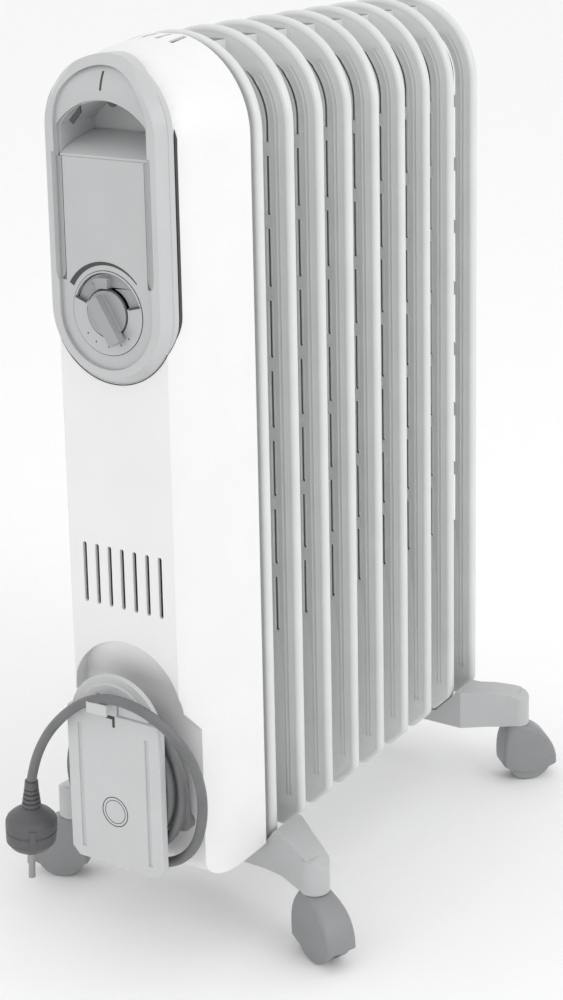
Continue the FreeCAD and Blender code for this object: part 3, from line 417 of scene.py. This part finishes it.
# ---- cord -----------------------------------------------------------------------------------------
CORD_RADIUS = 3.5
COIL_CENTRE = 133.0
COIL_STRETCH = 3.0           # the turns are this much taller than wide, each way
COIL_TURNS = 3.75
TURN_POINTS = 16
INNER_TURNS = 2.0            # these wind forward along the spool
STEP_TURNS = 0.3             # here the cord steps out onto them
INNER_RADIUS = 39.0
OUTER_RADIUS = 46.6
OUTER_SPREAD = 4.0           # how much wider the last turn lies
BACK_DEPTH = -70.0
FRONT_DEPTH = -84.0
TURN_DEPTH = 7.0             # how far a turn moves along the spool
WANDER = 0.6                 # how far the turns wander in and out
WANDER_RATE = 10.2           # and how fast, in radians a turn
LEAD_ROUTE = [
    (-6.0, -77.0, 80.0), (16.0, -77.0, 73.5), (37.5, -77.0, 79.5), (54.0, -78.0, 95.0),
    (62.5, -80.0, 117.5), (65.0, -83.0, 142.5), (61.5, -89.0, 167.0), (49.0, -96.5, 187.5),
    (30.0, -101.0, 200.0), (7.0, -102.5, 203.0), (-15.0, -102.5, 196.5), (-34.0, -102.0, 182.5),
    (-52.0, -99.0, 164.0), (-66.0, -95.0, 144.0), (-74.5, -92.0, 126.0), (-77.5, -91.0, 116.5),
]
PLUG_TOP = LEAD_ROUTE[-1]
PLUG_AXIS = Vector((-0.06, 0.0, -1.0)).normalized()
GLAND_END = (39.0, -70.0, 134.0)


def coil_points():
    """Control points of the turns round the spool: two inner turns that wind forward, then outer ones."""
    points = []
    for k in range(int(COIL_TURNS * TURN_POINTS)):
        turn = k / TURN_POINTS
        stepped = (turn - INNER_TURNS) / STEP_TURNS
        spread = (turn - INNER_TURNS - STEP_TURNS) / (COIL_TURNS - INNER_TURNS - STEP_TURNS)
        if stepped < 0:
            radius = INNER_RADIUS
            depth = BACK_DEPTH - TURN_DEPTH * turn
        elif spread < 0:
            radius = INNER_RADIUS + (OUTER_RADIUS - INNER_RADIUS) * stepped
            depth = FRONT_DEPTH
        else:
            radius = OUTER_RADIUS + OUTER_SPREAD * spread
            depth = FRONT_DEPTH + TURN_DEPTH * spread
        radius += WANDER * math.sin(WANDER_RATE * turn)
        angle = 2 * math.pi * turn
        height = COIL_CENTRE + (radius + COIL_STRETCH) * math.sin(angle)
        points.append((radius * math.cos(angle), depth, height))
    return points


def make_cord():
    """The whole cord as one smooth spline: gland, spool, hook, plug."""
    route = [GLAND_END] + coil_points()[1:] + LEAD_ROUTE
    curve = bpy.data.curves.new("cord", "CURVE")
    curve.dimensions = "3D"
    curve.bevel_depth = CORD_RADIUS * MM
    curve.bevel_resolution = 5
    curve.resolution_u = 6
    curve.use_fill_caps = True
    spline = curve.splines.new("NURBS")
    spline.points.add(len(route) - 1)
    for point, place in zip(spline.points, route):
        point.co = (*at(*place), 1.0)
    spline.order_u = 3
    spline.use_endpoint_u = True
    cord = bpy.data.objects.new("cord", curve)
    bpy.context.scene.collection.objects.link(cord)
    curve.materials.append(FINISHES["cord"])
    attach(cord, "radiator")
    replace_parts(cord, "cord_coil", "cord_lead")
    return cord


# The plug's shapes are (distance from its top, radius) points.
RELIEF_COLLAR = [(0.0, 3.6), (0.0, 4.7), (5.5, 5.1), (5.7, 4.4), (6.3, 4.4)]
RELIEF_RING = [(0.0, 0.0), (2.0, 0.3), (2.2, -0.7), (3.1, -0.6)]
RELIEF_RINGS = 4
RELIEF_START = (6.5, 5.2)
RELIEF_STEP = (3.3, 0.45)
PLUG_BODY = [(20.2, 7.6), (22.5, 10.0), (25.5, 14.6), (28.4, 17.4), (30.6, 18.3), (35.5, 18.3), (36.1, 17.5),
             (37.4, 17.4), (38.0, 18.1), (45.6, 17.7), (49.6, 14.6), (50.8, 13.0), (50.8, 3.0)]
CLIP_LINE = [(31.0, 18.1), (45.4, 17.6), (49.6, 14.7), (51.2, 12.8), (51.2, 10.5)]
CLIP_SECTION = [(-2.6, -0.3), (-2.2, 0.6), (2.2, 0.6), (2.6, -0.3)]
CLIP_SIDE = Vector((0.68, -0.74, 0.0)).normalized()
PLUG_SHARP_DEGREES = 28.0


def make_plug():
    """Moulded plug: ribbed strain relief, sloping shoulders, a waisted round body with a bevelled face."""
    profile = list(RELIEF_COLLAR)
    for k in range(RELIEF_RINGS):
        along = RELIEF_START[0] + RELIEF_STEP[0] * k
        radius = RELIEF_START[1] + RELIEF_STEP[1] * k
        profile += [(along + s, radius + r) for s, r in RELIEF_RING]
    bm = bmesh.new()
    revolve(bm, profile + PLUG_BODY, at(*PLUG_TOP), PLUG_AXIS, 48)
    data = mesh_from("plug_shell", bm)
    smooth(data, PLUG_SHARP_DEGREES)
    plug = link("plug_shell", data, "plug", "radiator")
    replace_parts(plug, "plug_body")
    return plug


def make_plug_clip():
    """Earth clip: a strip let into the side of the plug's body and its face."""
    across = CLIP_SIDE.cross(PLUG_AXIS).normalized()
    bm = bmesh.new()
    rows = []
    for along, reach in CLIP_LINE:
        centre = at(*PLUG_TOP) + (PLUG_AXIS * along + CLIP_SIDE * reach) * MM
        rows.append([bm.verts.new(centre + (across * a + CLIP_SIDE * b) * MM) for a, b in CLIP_SECTION])
    for a, b in zip(rows, rows[1:]):
        join_rows(bm, a, b)
    return detail("plug_clip", bm, "plug")


# ---- fins -----------------------------------------------------------------------------------------
RIM_SECTION = [              # (inward, depth) from the fin's edge and its plane
    (6.5, -0.8), (3.8, -0.88), (2.6, -0.65), (1.5, 0.0), (0.7, 0.9), (0.2, 2.1),
    (0.0, 3.4), (0.0, 4.6), (0.3, 5.7), (0.9, 6.5), (1.7, 6.7), (2.4, 6.3),
    (2.8, 5.4), (3.0, 4.0), (3.2, 1.8), (3.8, 0.9), (5.5, 0.8),
]
RIM_CHAMFER = 15.0
RIM_ARC_STEPS = 56
SHEET_INSET = 4.2            # the flat sheet ends this far inside the rim's edge
SHEET_CHAMFER = 13.5
SHEET_HALF_THICKNESS = 0.6
SHEET_ROUNDING = 0.25
RIB_SECTION = [(-1.0, 0.0), (-0.5, 0.2), (0.0, 0.28), (0.5, 0.2), (1.0, 0.0)]
RIB_XS = (54.0, 57.0, 38.0)
RIB_ZS = (84.0, 88.0, 300.0, ARCH_CENTRE)
RIB_FACE = 0.85              # the sheet's faces, with its rounding, stand this far from its plane
RIB_ARC_DEGREES = 40.0
RIB_ARC_STEPS = 14
SLOT_X = 48.0
SLOT_HALF = 1.7
SLOT_BOTTOM = 209.3
SLOT_PITCH = 50.2
SLOT_HEIGHT = 41.3
SLOT_CORNER = 1.4
STRAIGHT_SLOTS = 7
SLOT_ARC_DEGREES = 48.0
SLOT_ARC_STEPS = 16
SLOT_TAPER_FROM = 12         # the arched slot narrows after this step
SLOT_TAPER = 0.16            # by this share a step
SLOT_EDGE = (0.6, -1.1, -0.5)    # thickness, front and back of the slot's raised edge
SLOT_SHADE_WALL = (0.2, -0.3, 3.2)   # the same for the dark wall of painted shade inside it
CHANNEL_HALF = 16.5
CHANNEL_CORNER = 2.0
CHANNEL_FOOT = 112.0
CHANNEL_TOP = 629.0
WAIST_DEPTH = 8.0            # the channel is no deeper than this up to the waist's top
WAIST_TOP = 150.0
WAIST_END = 163.0
HEADER_Z = 100.0
HEADER_RADIUS = 24.0
HEADER_BORE = 20.0
HEADER_EDGE = 0.8
NEARLY_Y = (0.0, 1.0, 0.0001)    # a hair off +Y, as revolve needs
FRONT_REACH = 7.0            # the first fin's channel stands this far out in front
BACK_REACH = 9.0             # and the last fin's behind


def arch_point(radius, angle):
    """Point at an angle from +X round the arch's centre, in X and Z."""
    return Vector((radius * math.cos(angle), ARCH_CENTRE + radius * math.sin(angle)))


def slot_outlines():
    """Air slots on the +X side: straight ones, then one that follows the arch."""
    left, right = SLOT_X - SLOT_HALF, SLOT_X + SLOT_HALF
    made = []
    for k in range(STRAIGHT_SLOTS):
        low = SLOT_BOTTOM + SLOT_PITCH * k
        high = low + SLOT_HEIGHT
        made.append(filleted([(left, low), (right, low), (right, high), (left, high)], SLOT_CORNER, 3))
    low = SLOT_BOTTOM + SLOT_PITCH * STRAIGHT_SLOTS
    inner, outer = [], []
    for k in range(SLOT_ARC_STEPS + 1):
        angle = math.radians(SLOT_ARC_DEGREES * k / SLOT_ARC_STEPS)
        half = SLOT_HALF * (1.0 - SLOT_TAPER * max(0, k - SLOT_TAPER_FROM))
        inner.append(arch_point(SLOT_X - half, angle))
        outer.append(arch_point(SLOT_X + half, angle))
    made.append([Vector((left, low)), Vector((right, low))] + outer + inner[::-1])
    return made


def mirrored(outline):
    """The same outline or path on the -X side."""
    return [Vector((-p.x, p.y)) for p in outline]


def fin_sheet():
    """Flat mesh of the pressed sheet with its slots, as a filled curve; one mesh serves all nine fins."""
    curve = bpy.data.curves.new("sheet", "CURVE")
    curve.dimensions = "2D"
    curve.fill_mode = "BOTH"
    curve.extrude = SHEET_HALF_THICKNESS * MM
    curve.bevel_depth = SHEET_ROUNDING * MM
    curve.bevel_resolution = 1
    outlines = [fin_outline(FIN_HALF_WIDTH - SHEET_INSET, FIN_BOTTOM + SHEET_INSET, FIN_TOP - SHEET_INSET,
                            SHEET_CHAMFER)]
    for slot in slot_outlines():
        outlines += [slot, mirrored(slot)[::-1]]
    for outline in outlines:
        spline = curve.splines.new("POLY")
        spline.points.add(len(outline) - 1)
        for point, place in zip(spline.points, outline):
            point.co = (place.x * MM, place.y * MM, 0, 1)
        spline.use_cyclic_u = True
    holder = bpy.data.objects.new("sheet", curve)
    bpy.context.scene.collection.objects.link(holder)
    flat = bpy.data.meshes.new_from_object(holder.evaluated_get(bpy.context.evaluated_depsgraph_get()))
    bpy.data.objects.remove(holder)
    flat.transform(Matrix.Rotation(math.radians(90), 4, "X"))
    return flat


def rib_path(x):
    """Path of a stiffening rib: up beside the slots and round part of the arch."""
    path = [Vector((x, z)) for z in RIB_ZS]
    for k in range(1, RIB_ARC_STEPS + 1):
        path.append(arch_point(x, math.radians(RIB_ARC_DEGREES * k / RIB_ARC_STEPS)))
    return path


def add_ribs(bm, y):
    """Ribs on both faces of the fin at a depth, on both its sides."""
    for lift in (-1, 1):
        section = [(n, d * lift) for n, d in RIB_SECTION]
        for x in RIB_XS:
            path = rib_path(x)
            depths = [y + RIB_FACE * lift] * len(path)
            sweep_open(bm, path, section, depths)
            sweep_open(bm, mirrored(path), section, depths)


def offset_outline(outline, distance):
    """The same closed outline moved outwards by a distance."""
    made = []
    count = len(outline)
    for index, point in enumerate(outline):
        tangent = (outline[(index + 1) % count] - outline[index - 1]).normalized()
        made.append(point + Vector((tangent.y, -tangent.x)) * distance)
    return made


def add_slot_wall(bm, outline, thickness, y0, y1):
    """Thin wall of a thickness round an air slot, between two depths."""
    outer = offset_outline(outline, thickness)
    rows = []
    for line, y in ((outline, y0), (outer, y0), (outer, y1), (outline, y1)):
        rows.append([bm.verts.new(at(p.x, y, p.y)) for p in line])
    for a, b in zip(rows, rows[1:] + rows[:1]):
        join_rings(bm, a, b)


def add_slot_walls(bm, y, wall):
    """A wall, as (thickness, front, back), round every slot of the fin at a depth."""
    thickness, front, back = wall
    for slot in slot_outlines():
        for outline in (mirrored(slot)[::-1], slot):
            add_slot_wall(bm, outline, thickness, y + front, y + back)


def add_channel(bm, y, front, back):
    """Oil channel up the middle, waisted above the lower header, and the header itself."""
    slim_front, slim_back = min(front, WAIST_DEPTH), min(back, WAIST_DEPTH)
    corners = [(y - slim_front, CHANNEL_FOOT), (y + slim_back, CHANNEL_FOOT), (y + slim_back, WAIST_TOP),
               (y + back, WAIST_END), (y + back, CHANNEL_TOP), (y - front, CHANNEL_TOP),
               (y - front, WAIST_END), (y - slim_front, WAIST_TOP)]
    side_prism(bm, filleted(corners, CHANNEL_CORNER, 2), -CHANNEL_HALF, CHANNEL_HALF)
    length = front + back
    half = [(0.0, HEADER_BORE), (0.0, HEADER_RADIUS - HEADER_EDGE), (HEADER_EDGE, HEADER_RADIUS)]
    header = half + [(length - along, radius) for along, radius in half[::-1]]
    revolve(bm, header, at(0, y - front, HEADER_Z), NEARLY_Y, 48)


def make_fins():
    """Nine fins: pressed sheet with slots and ribs, a folded round rim and the oil channel."""
    flat = fin_sheet()
    rim = fin_outline(FIN_HALF_WIDTH, FIN_BOTTOM, FIN_TOP, RIM_CHAMFER, RIM_ARC_STEPS)
    for index in range(FIN_COUNT):
        name = "fin_%d" % (index + 1)
        y = index * FIN_PITCH
        front = FRONT_REACH if index == 0 else FIN_PITCH / 2
        back = BACK_REACH if index == FIN_COUNT - 1 else FIN_PITCH / 2
        bm = bmesh.new()
        sheet = flat.copy()
        sheet.transform(Matrix.Translation(at(0, y, 0)))
        bm.from_mesh(sheet)
        sweep_closed(bm, rim, RIM_SECTION, y)
        add_ribs(bm, y)
        add_channel(bm, y, front, back)
        add_slot_walls(bm, y, SLOT_EDGE)
        # painted shade: a dark wall inside every slot stands for the shade within it
        lining = bmesh.new()
        add_slot_walls(lining, y, SLOT_SHADE_WALL)
        detail(name + "_slot_shade", lining, "slot")
        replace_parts(detail(name + "_pressing", bm, "enamel"), name)


STRIP_HALF = 15.6
STRIP_ZS = (628.6, 629.3)
STRIP_GAP = 0.4              # between the strips of neighbouring fins, on each side of the joint
STRIP_END = 0.5              # left free at the stack's two ends
STRIP_MIDDLE = 1.5           # left free on each side of the fin's plane


def make_channel_tops():
    """Strips of painted shade along the tops of the oil channels."""
    bm = bmesh.new()
    low, high = STRIP_ZS
    for index in range(FIN_COUNT):
        y = index * FIN_PITCH
        front = FRONT_REACH - STRIP_END if index == 0 else FIN_PITCH / 2 - STRIP_GAP
        back = BACK_REACH - STRIP_END if index == FIN_COUNT - 1 else FIN_PITCH / 2 - STRIP_GAP
        for near, far in ((y - front, y - STRIP_MIDDLE), (y + STRIP_MIDDLE, y + back)):
            side_prism(bm, [(near, low), (near, high), (far, high), (far, low)], -STRIP_HALF, STRIP_HALF)
    detail("channel_top_shade", bm, "channel")


# ---- panel details --------------------------------------------------------------------------------
LINE_PROUD = 0.12            # how far printed lines stand in front of their face
ARC_STEPS = 32
ARC_FROM = 150.0             # degrees from +X
ARC_SWEEP = 108.0
ARC_RADIUS = 33.4
ARC_DRIFT = 0.8              # the arc's middle moves this far in as it thins
ARC_WIDTHS = (3.9, 0.5)      # at its start and its end
DOT_DEGREES = (222.0, 243.0, 270.0, 297.0, 318.0)


def make_scale_arc():
    """Thick to thin arc printed above the dial, a generic sign for more and less heat."""
    bm = bmesh.new()
    inner, outer = [], []
    for k in range(ARC_STEPS + 1):
        share = k / ARC_STEPS
        degrees = ARC_FROM - ARC_SWEEP * share
        width = ARC_WIDTHS[0] + (ARC_WIDTHS[1] - ARC_WIDTHS[0]) * share
        middle = ARC_RADIUS - ARC_DRIFT * share
        inner.append((degrees, middle - width / 2))
        outer.append((degrees, middle + width / 2))
    band(bm, inner, outer, PANEL_FACE - 0.25, PANEL_FACE + 0.3)
    detail("scale_arc", bm, "ink")


def circle(radius, z, steps=64):
    """Closed round outline in X and Z, centred at a height."""
    angles = [2 * math.pi * k / steps for k in range(steps)]
    return [Vector((radius * math.cos(a), z + radius * math.sin(a))) for a in angles]


def line_section(width, front, back):
    """Section of a thin raised line: from its back edge, over its front, to its back edge."""
    return [(-width / 2, back), (-width / 2, front), (width / 2, front), (width / 2, back)]


def make_dial_marks():
    """Fine lines round the dial and the knob, the window's two end lines and small dots below."""
    bm = bmesh.new()
    sweep_closed(bm, circle(28.2, DIAL_Z), line_section(0.5, -0.15, 0.3), PANEL_FACE)
    sweep_closed(bm, circle(16.3, DIAL_Z), line_section(0.7, -LINE_PROUD, 0.3), PANEL_FACE - 0.5)
    for degrees in WINDOW_ENDS:
        inner = [(degrees - 2.4, 18.0), (degrees + 2.4, 18.0)]
        outer = [(degrees - 1.4, 27.4), (degrees + 1.4, 27.4)]
        band(bm, inner, outer, PANEL_FACE - 0.75, PANEL_FACE - 0.3)
    for degrees in DOT_DEGREES:
        inner = [(degrees - 1.2, 22.0), (degrees + 1.2, 22.0)]
        outer = [(degrees - 1.2, 23.0), (degrees + 1.2, 23.0)]
        band(bm, inner, outer, PANEL_FACE - 0.65, PANEL_FACE - 0.3)
    detail("dial_marks", bm, "ink")


def casing_depth(x):
    """Depth of the casing's front at a width: flat in the middle, then a facet that slopes back."""
    return CASING_FACE + max(0.0, abs(x) - FACET_FROM) * FACET_SLOPE


BEZEL_GAP_ZS = [584.0, 578.0, 530.0, BEZEL_LOW_CENTRE]
BEZEL_GAP_STEPS = 48


def make_bezel_gap():
    """Dark gap line between the bezel and the casing, down both sides and round the bottom."""
    path = [Vector((BEZEL_EDGE, z)) for z in BEZEL_GAP_ZS]
    for k in range(1, BEZEL_GAP_STEPS):
        angle = math.pi * k / BEZEL_GAP_STEPS
        path.append(Vector((BEZEL_EDGE * math.cos(angle), BEZEL_LOW_CENTRE - BEZEL_EDGE * math.sin(angle))))
    path += [Vector((-BEZEL_EDGE, z)) for z in reversed(BEZEL_GAP_ZS)]
    bm = bmesh.new()
    sweep_open(bm, path, line_section(0.7, -0.25, 2.5), [casing_depth(point.x) for point in path])
    detail("bezel_gap", bm, "dark")


VENT_HALF = 1.6
VENT_XS = (-17.25, -5.75, 5.75, 17.25)
VENT_SINKS = (2.6, 0.9, 0.9, 2.6)    # the linings' tops follow the crown down towards the sides
VENT_TOP = [(-27.7, 635.2), (-19.5, 635.8), (-11.3, 636.2)]
VENT_FLOOR = [(-11.3, 630.0), (-27.7, 629.0)]


def make_vent_shadows():
    """Dark linings of painted shade in the casing's four top vents."""
    bm = bmesh.new()
    for x, sink in zip(VENT_XS, VENT_SINKS):
        outline = [(y, z - sink) for y, z in VENT_TOP] + VENT_FLOOR
        side_prism(bm, outline, x - VENT_HALF, x + VENT_HALF)
    detail("vent_shade_linings", bm, "dark")


# Outlines in X and Z on the +X side, except the sill's, which is in Y and Z.
GROOVE_OUTLINE = [(33.4, 563.0), (33.4, 488.0), (33.9, 485.2), (35.0, 483.2), (37.35, 481.6), (37.35, 563.0)]
GROOVE_EDGE = [(37.7, 566.0), (37.7, 481.4), (38.6, 482.6), (39.3, 485.0), (39.6, 488.0), (39.6, 566.0)]
SILL_OUTLINE = [(-80.6, 562.4), (-80.6, 564.6), (-74.0, 568.0), (-60.0, 572.5), (-43.5, 576.0),
                (-43.5, 562.4)]
SILL_HALF = 35.6
SILL_ROUNDING = 0.8
HALF_DISC_CENTRE = (9.0, 600.6)
HALF_DISC_RADIUS = 3.6
HALF_DISC_STEPS = 14
# painted shade between the hand hole's left wall and its arch
CORNER_SHADE_OUTLINE = [(-27.0, 586.5), (-24.0, 584.0), (-17.0, 592.0), (-17.5, 596.5)]


def make_grooves():
    """Painted shade on the floors of the panel's side grooves and on their edges on the bezel."""
    bm = bmesh.new()
    for side in (-1, 1):
        groove = [(side * x, z) for x, z in GROOVE_OUTLINE]
        edge = [(side * x, z) for x, z in GROOVE_EDGE]
        prism(bm, groove, PANEL_FACE - LINE_PROUD, PANEL_FACE + 1.9)
        prism(bm, edge, BEZEL_FACE - LINE_PROUD, BEZEL_FACE + 0.5)
    detail("groove_floor_shade", bm, "knob")


def make_hand_hole_details():
    """Rounded sill of the hand hole, a dark half disc under the arch and painted shade at its top left."""
    bm = bmesh.new()
    side_prism(bm, SILL_OUTLINE, -SILL_HALF, SILL_HALF)
    bevel(detail("hand_hole_sill", bm, "recess"), SILL_ROUNDING)
    bm = bmesh.new()
    half_disc = []
    for k in range(HALF_DISC_STEPS + 1):
        angle = math.pi + math.pi * k / HALF_DISC_STEPS
        half_disc.append((HALF_DISC_CENTRE[0] + HALF_DISC_RADIUS * math.cos(angle),
                          HALF_DISC_CENTRE[1] + HALF_DISC_RADIUS * math.sin(angle)))
    prism(bm, half_disc, PANEL_FACE + 1.0, PANEL_FACE + 2.6)
    prism(bm, CORNER_SHADE_OUTLINE, PANEL_FACE + 1.6, PANEL_FACE + 2.6)
    detail("hand_hole_disc_and_shade", bm, "ink")


RING_Z = 115.0
HOOK_HOLE = [(0.5, 177.5), (2.6, 177.5), (2.6, 185.6), (-9.5, 185.6), (-9.5, 183.2), (0.5, 183.2)]


def make_plate_marks():
    """Plain double ring on the wrap plate where a sign would be, and painted shade in the hook's hole."""
    bm = bmesh.new()
    for radius, width in ((10.6, 0.6), (8.4, 0.4)):
        sweep_closed(bm, circle(radius, RING_Z), line_section(width, -LINE_PROUD, 0.3), PLATE_FACE)
    detail("plate_ring", bm, "ink")
    bm = bmesh.new()
    # painted shade: a dark patch stands for the shade inside the hook's catch hole
    prism(bm, HOOK_HOLE, PLATE_FACE - LINE_PROUD, PLATE_FACE + 0.5)
    detail("hook_hole_shade", bm, "dark")


def make_details():
    """Printed and moulded details that the CAD model leaves out, and patches of painted shade."""
    make_scale_arc()
    make_dial_marks()
    make_bezel_gap()
    make_vent_shadows()
    make_grooves()
    make_hand_hole_details()
    make_plate_marks()


# ---- castors --------------------------------------------------------------------------------------
CASTOR_ENDS = {"front": (-11.5, -22.0), "rear": (299.0, 45.0)}     # stem's depth, rest turn in degrees
SIDES = {"right": 1, "left": -1}
CORNERS = [end + "_" + side for end in CASTOR_ENDS for side in SIDES]
HOOD_WALL = 1.3
SKIRT_DIP = 6.5              # the hood's side walls hang this much lower than its ends
HOOD_RINGS = [               # height, front, rear, half width and corner radius, measured from the stem
    (47.4, -9.4, 9.4, 9.4, 9.3), (45.6, -10.0, 13.0, 10.3, 8.0), (42.5, -10.9, 17.6, 11.2, 6.4),
    (38.5, -11.9, 22.0, 11.9, 4.8), (34.0, -12.7, 25.6, 12.3, 3.8), (29.0, -13.3, 28.4, 12.4, 3.2),
    (24.0, -13.5, 30.3, 12.4, 3.0), (19.5, -13.5, 31.3, 12.4, 3.0), (14.0, -13.1, 31.6, 12.4, 3.0),
]
HOOD_CORNER_STEPS = 6
HOOD_SIDE_PARTS = 8
WEB_HALF = 1.9
WEB_OUTLINE = [(-9.0, 12.0), (27.0, 12.0), (26.0, 26.0), (18.0, 36.0), (8.0, 42.0), (-7.0, 42.0),
               (-10.0, 30.0)]


def hood_ring(front, rear, half, radius):
    """Rounded rectangle in plan, with the straight runs between its corners divided."""
    corners = [(rear, -half), (rear, half), (front, half), (front, -half)]
    outline = filleted(corners, radius, HOOD_CORNER_STEPS)
    made = []
    for index, point in enumerate(outline):
        made.append(point)
        if index % (HOOD_CORNER_STEPS + 1) == HOOD_CORNER_STEPS:
            following = outline[(index + 1) % len(outline)]
            made += [point.lerp(following, k / HOOD_SIDE_PARTS) for k in range(1, HOOD_SIDE_PARTS)]
    return made


def hood_mesh(name):
    """Helmet shaped hood in the castor's own frame, open below, its side walls hanging lower."""
    bm = bmesh.new()
    rings = []
    for z, front, rear, half, radius in HOOD_RINGS:
        middle, reach = (front + rear) / 2, (rear - front) / 2
        dip = SKIRT_DIP if z == HOOD_RINGS[-1][0] else 0.0
        ring = []
        for p in hood_ring(front, rear, half, radius):
            sag = dip * (1 - ((p.x - middle) / reach) ** 2)
            ring.append(bm.verts.new(Vector((p.x, p.y, z - sag)) * MM))
        rings.append(ring)
    for upper, lower in zip(rings, rings[1:]):
        join_rings(bm, upper, lower)
    bm.faces.new(rings[0])
    return mesh_from(name, bm)


def web_mesh(name):
    """Dark web between a castor's two wheels, in the castor's own frame."""
    bm = bmesh.new()
    near = [Vector((u, -WEB_HALF, z)) * MM for u, z in WEB_OUTLINE]
    far = [Vector((u, WEB_HALF, z)) * MM for u, z in WEB_OUTLINE]
    closed_prism(bm, near, far)
    return mesh_from(name, bm)


def make_castor(corner, place):
    """Hood and web of one castor, put in their place."""
    body = "castor_" + corner
    shell = hood_mesh("hood_" + corner)
    shell.transform(place)
    hood = link("hood_" + corner, shell, "hood", body)
    wall = hood.modifiers.new("wall", "SOLIDIFY")
    wall.thickness = HOOD_WALL * MM
    wall.offset = -1.0
    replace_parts(hood, "castor_hood_" + corner)
    web = web_mesh("web_" + corner)
    web.transform(place)
    link("web_" + corner, web, "dark", body)


def make_castors():
    """The four castors, turned as the CAD castors rest."""
    for end, (boss_y, rest_turn) in CASTOR_ENDS.items():
        for side_name, side in SIDES.items():
            turn = rest_turn if side > 0 else 180.0 - rest_turn
            stem = Matrix.Translation(at(side * BOSS_X, boss_y, 0))
            make_castor(end + "_" + side_name, stem @ Matrix.Rotation(math.radians(turn), 4, "Z"))


# ---- surroundings ---------------------------------------------------------------------------------
def area_light(name, place, size, power):
    """Soft square light that faces the object."""
    data = bpy.data.lights.new(name, "AREA")
    data.size = size
    data.energy = power
    lamp = bpy.data.objects.new(name, data)
    bpy.context.scene.collection.objects.link(lamp)
    lamp.location = place
    lamp.rotation_mode = "QUATERNION"
    lamp.rotation_quaternion = (Vector(LIGHT_TARGET) - Vector(place)).to_track_quat("-Z", "Y")


FLOOR_HALF = 12.0            # metres, as are the lights' places and sizes
LIGHT_TARGET = (0, 0, 0.33)
LIGHTS = [                   # name, place, size, watts
    ("light_right", (2.6, -0.3, 1.6), 1.2, 15.0),
    ("light_front", (-0.9, -2.8, 1.4), 1.4, 3.5),
    ("light_top", (0.2, 0.2, 2.8), 1.6, 2.0),
]


def make_stage():
    """Plain pale floor, soft studio lights and a pale surround."""
    bm = bmesh.new()
    bmesh.ops.create_grid(bm, x_segments=1, y_segments=1, size=FLOOR_HALF)
    data = bpy.data.meshes.new("floor")
    bm.to_mesh(data)
    bm.free()
    floor = bpy.data.objects.new("floor", data)
    bpy.context.scene.collection.objects.link(floor)
    data.materials.append(material("floor_paper", (0.93, 0.93, 0.93), 0.9, mottle=0.004, bump=0.0))
    world = bpy.data.worlds.new("studio")
    world.use_nodes = True
    surround = world.node_tree.nodes["Background"]
    surround.inputs["Color"].default_value = (1, 1, 1, 1)
    surround.inputs["Strength"].default_value = 1.0
    bpy.context.scene.world = world
    bpy.context.scene.view_settings.view_transform = "Standard"
    for name, place, size, power in LIGHTS:
        area_light(name, place, size, power)


# ---- the object -----------------------------------------------------------------------------------
WHEEL_ROUNDING = 0.5
SOFTENED = [                 # node, rounding, finish, the record's material slot
    ("front_casing", 1.6, "white", "casing_white"),
    ("bezel", 1.2, "bezel", "bezel_grey"),
    ("control_panel", 0.8, "panel", "panel_grey"),
    ("handle_cup", 0.5, "recess", "dark_plastic"),
    ("dial_plate", 0.3, "panel", "panel_grey"),
    ("thermostat_ring", 0.4, "grip", "grip_grey"),
    ("selector_knob", 1.0, "knob", "bezel_grey"),
    ("wrap_plate", 1.2, "plate", "panel_grey"),
    ("wrap_flange", 0.5, "plate", "casing_white"),
    ("wrap_spool", 0.6, "recess", "dark_plastic"),
    ("foot_front", 2.2, "foot", "foot_grey"),
    ("foot_rear", 2.2, "foot", "foot_grey"),
]

PAINTED = {
    "steel": ["filler_plug", "element_flange", "heating_element", "heat_shield", "thermostat_shaft",
              "selector_shaft", "thermal_cutout", "casing_screws", "wrap_screws", "u_bolts", "wing_nuts"],
    "dark": ["thermostat", "selector_switch", "terminal_block"],
    "lens": ["pilot_lens", "pilot_lamp"],
    "cord": ["cord_gland"],
    "pin": ["plug_pins"],
}


def finish_cad_nodes():
    """Rounded copies of the moulded parts, and finishes for the CAD nodes that stay."""
    for node, width, finish, slot in SOFTENED:
        softened(node, width, finish)
    for corner in CORNERS:
        for letter in "ab":
            softened("wheel_%s_%s" % (corner, letter), WHEEL_ROUNDING, "wheel")
        paint("castor_pins_" + corner, "steel")
    for finish, nodes in PAINTED.items():
        for node in nodes:
            paint(node, finish)


make_camera()
cord = make_cord()
plug = make_plug()
clip = make_plug_clip()
make_fins()
make_channel_tops()
finish_cad_nodes()
make_castors()
make_details()
make_stage()
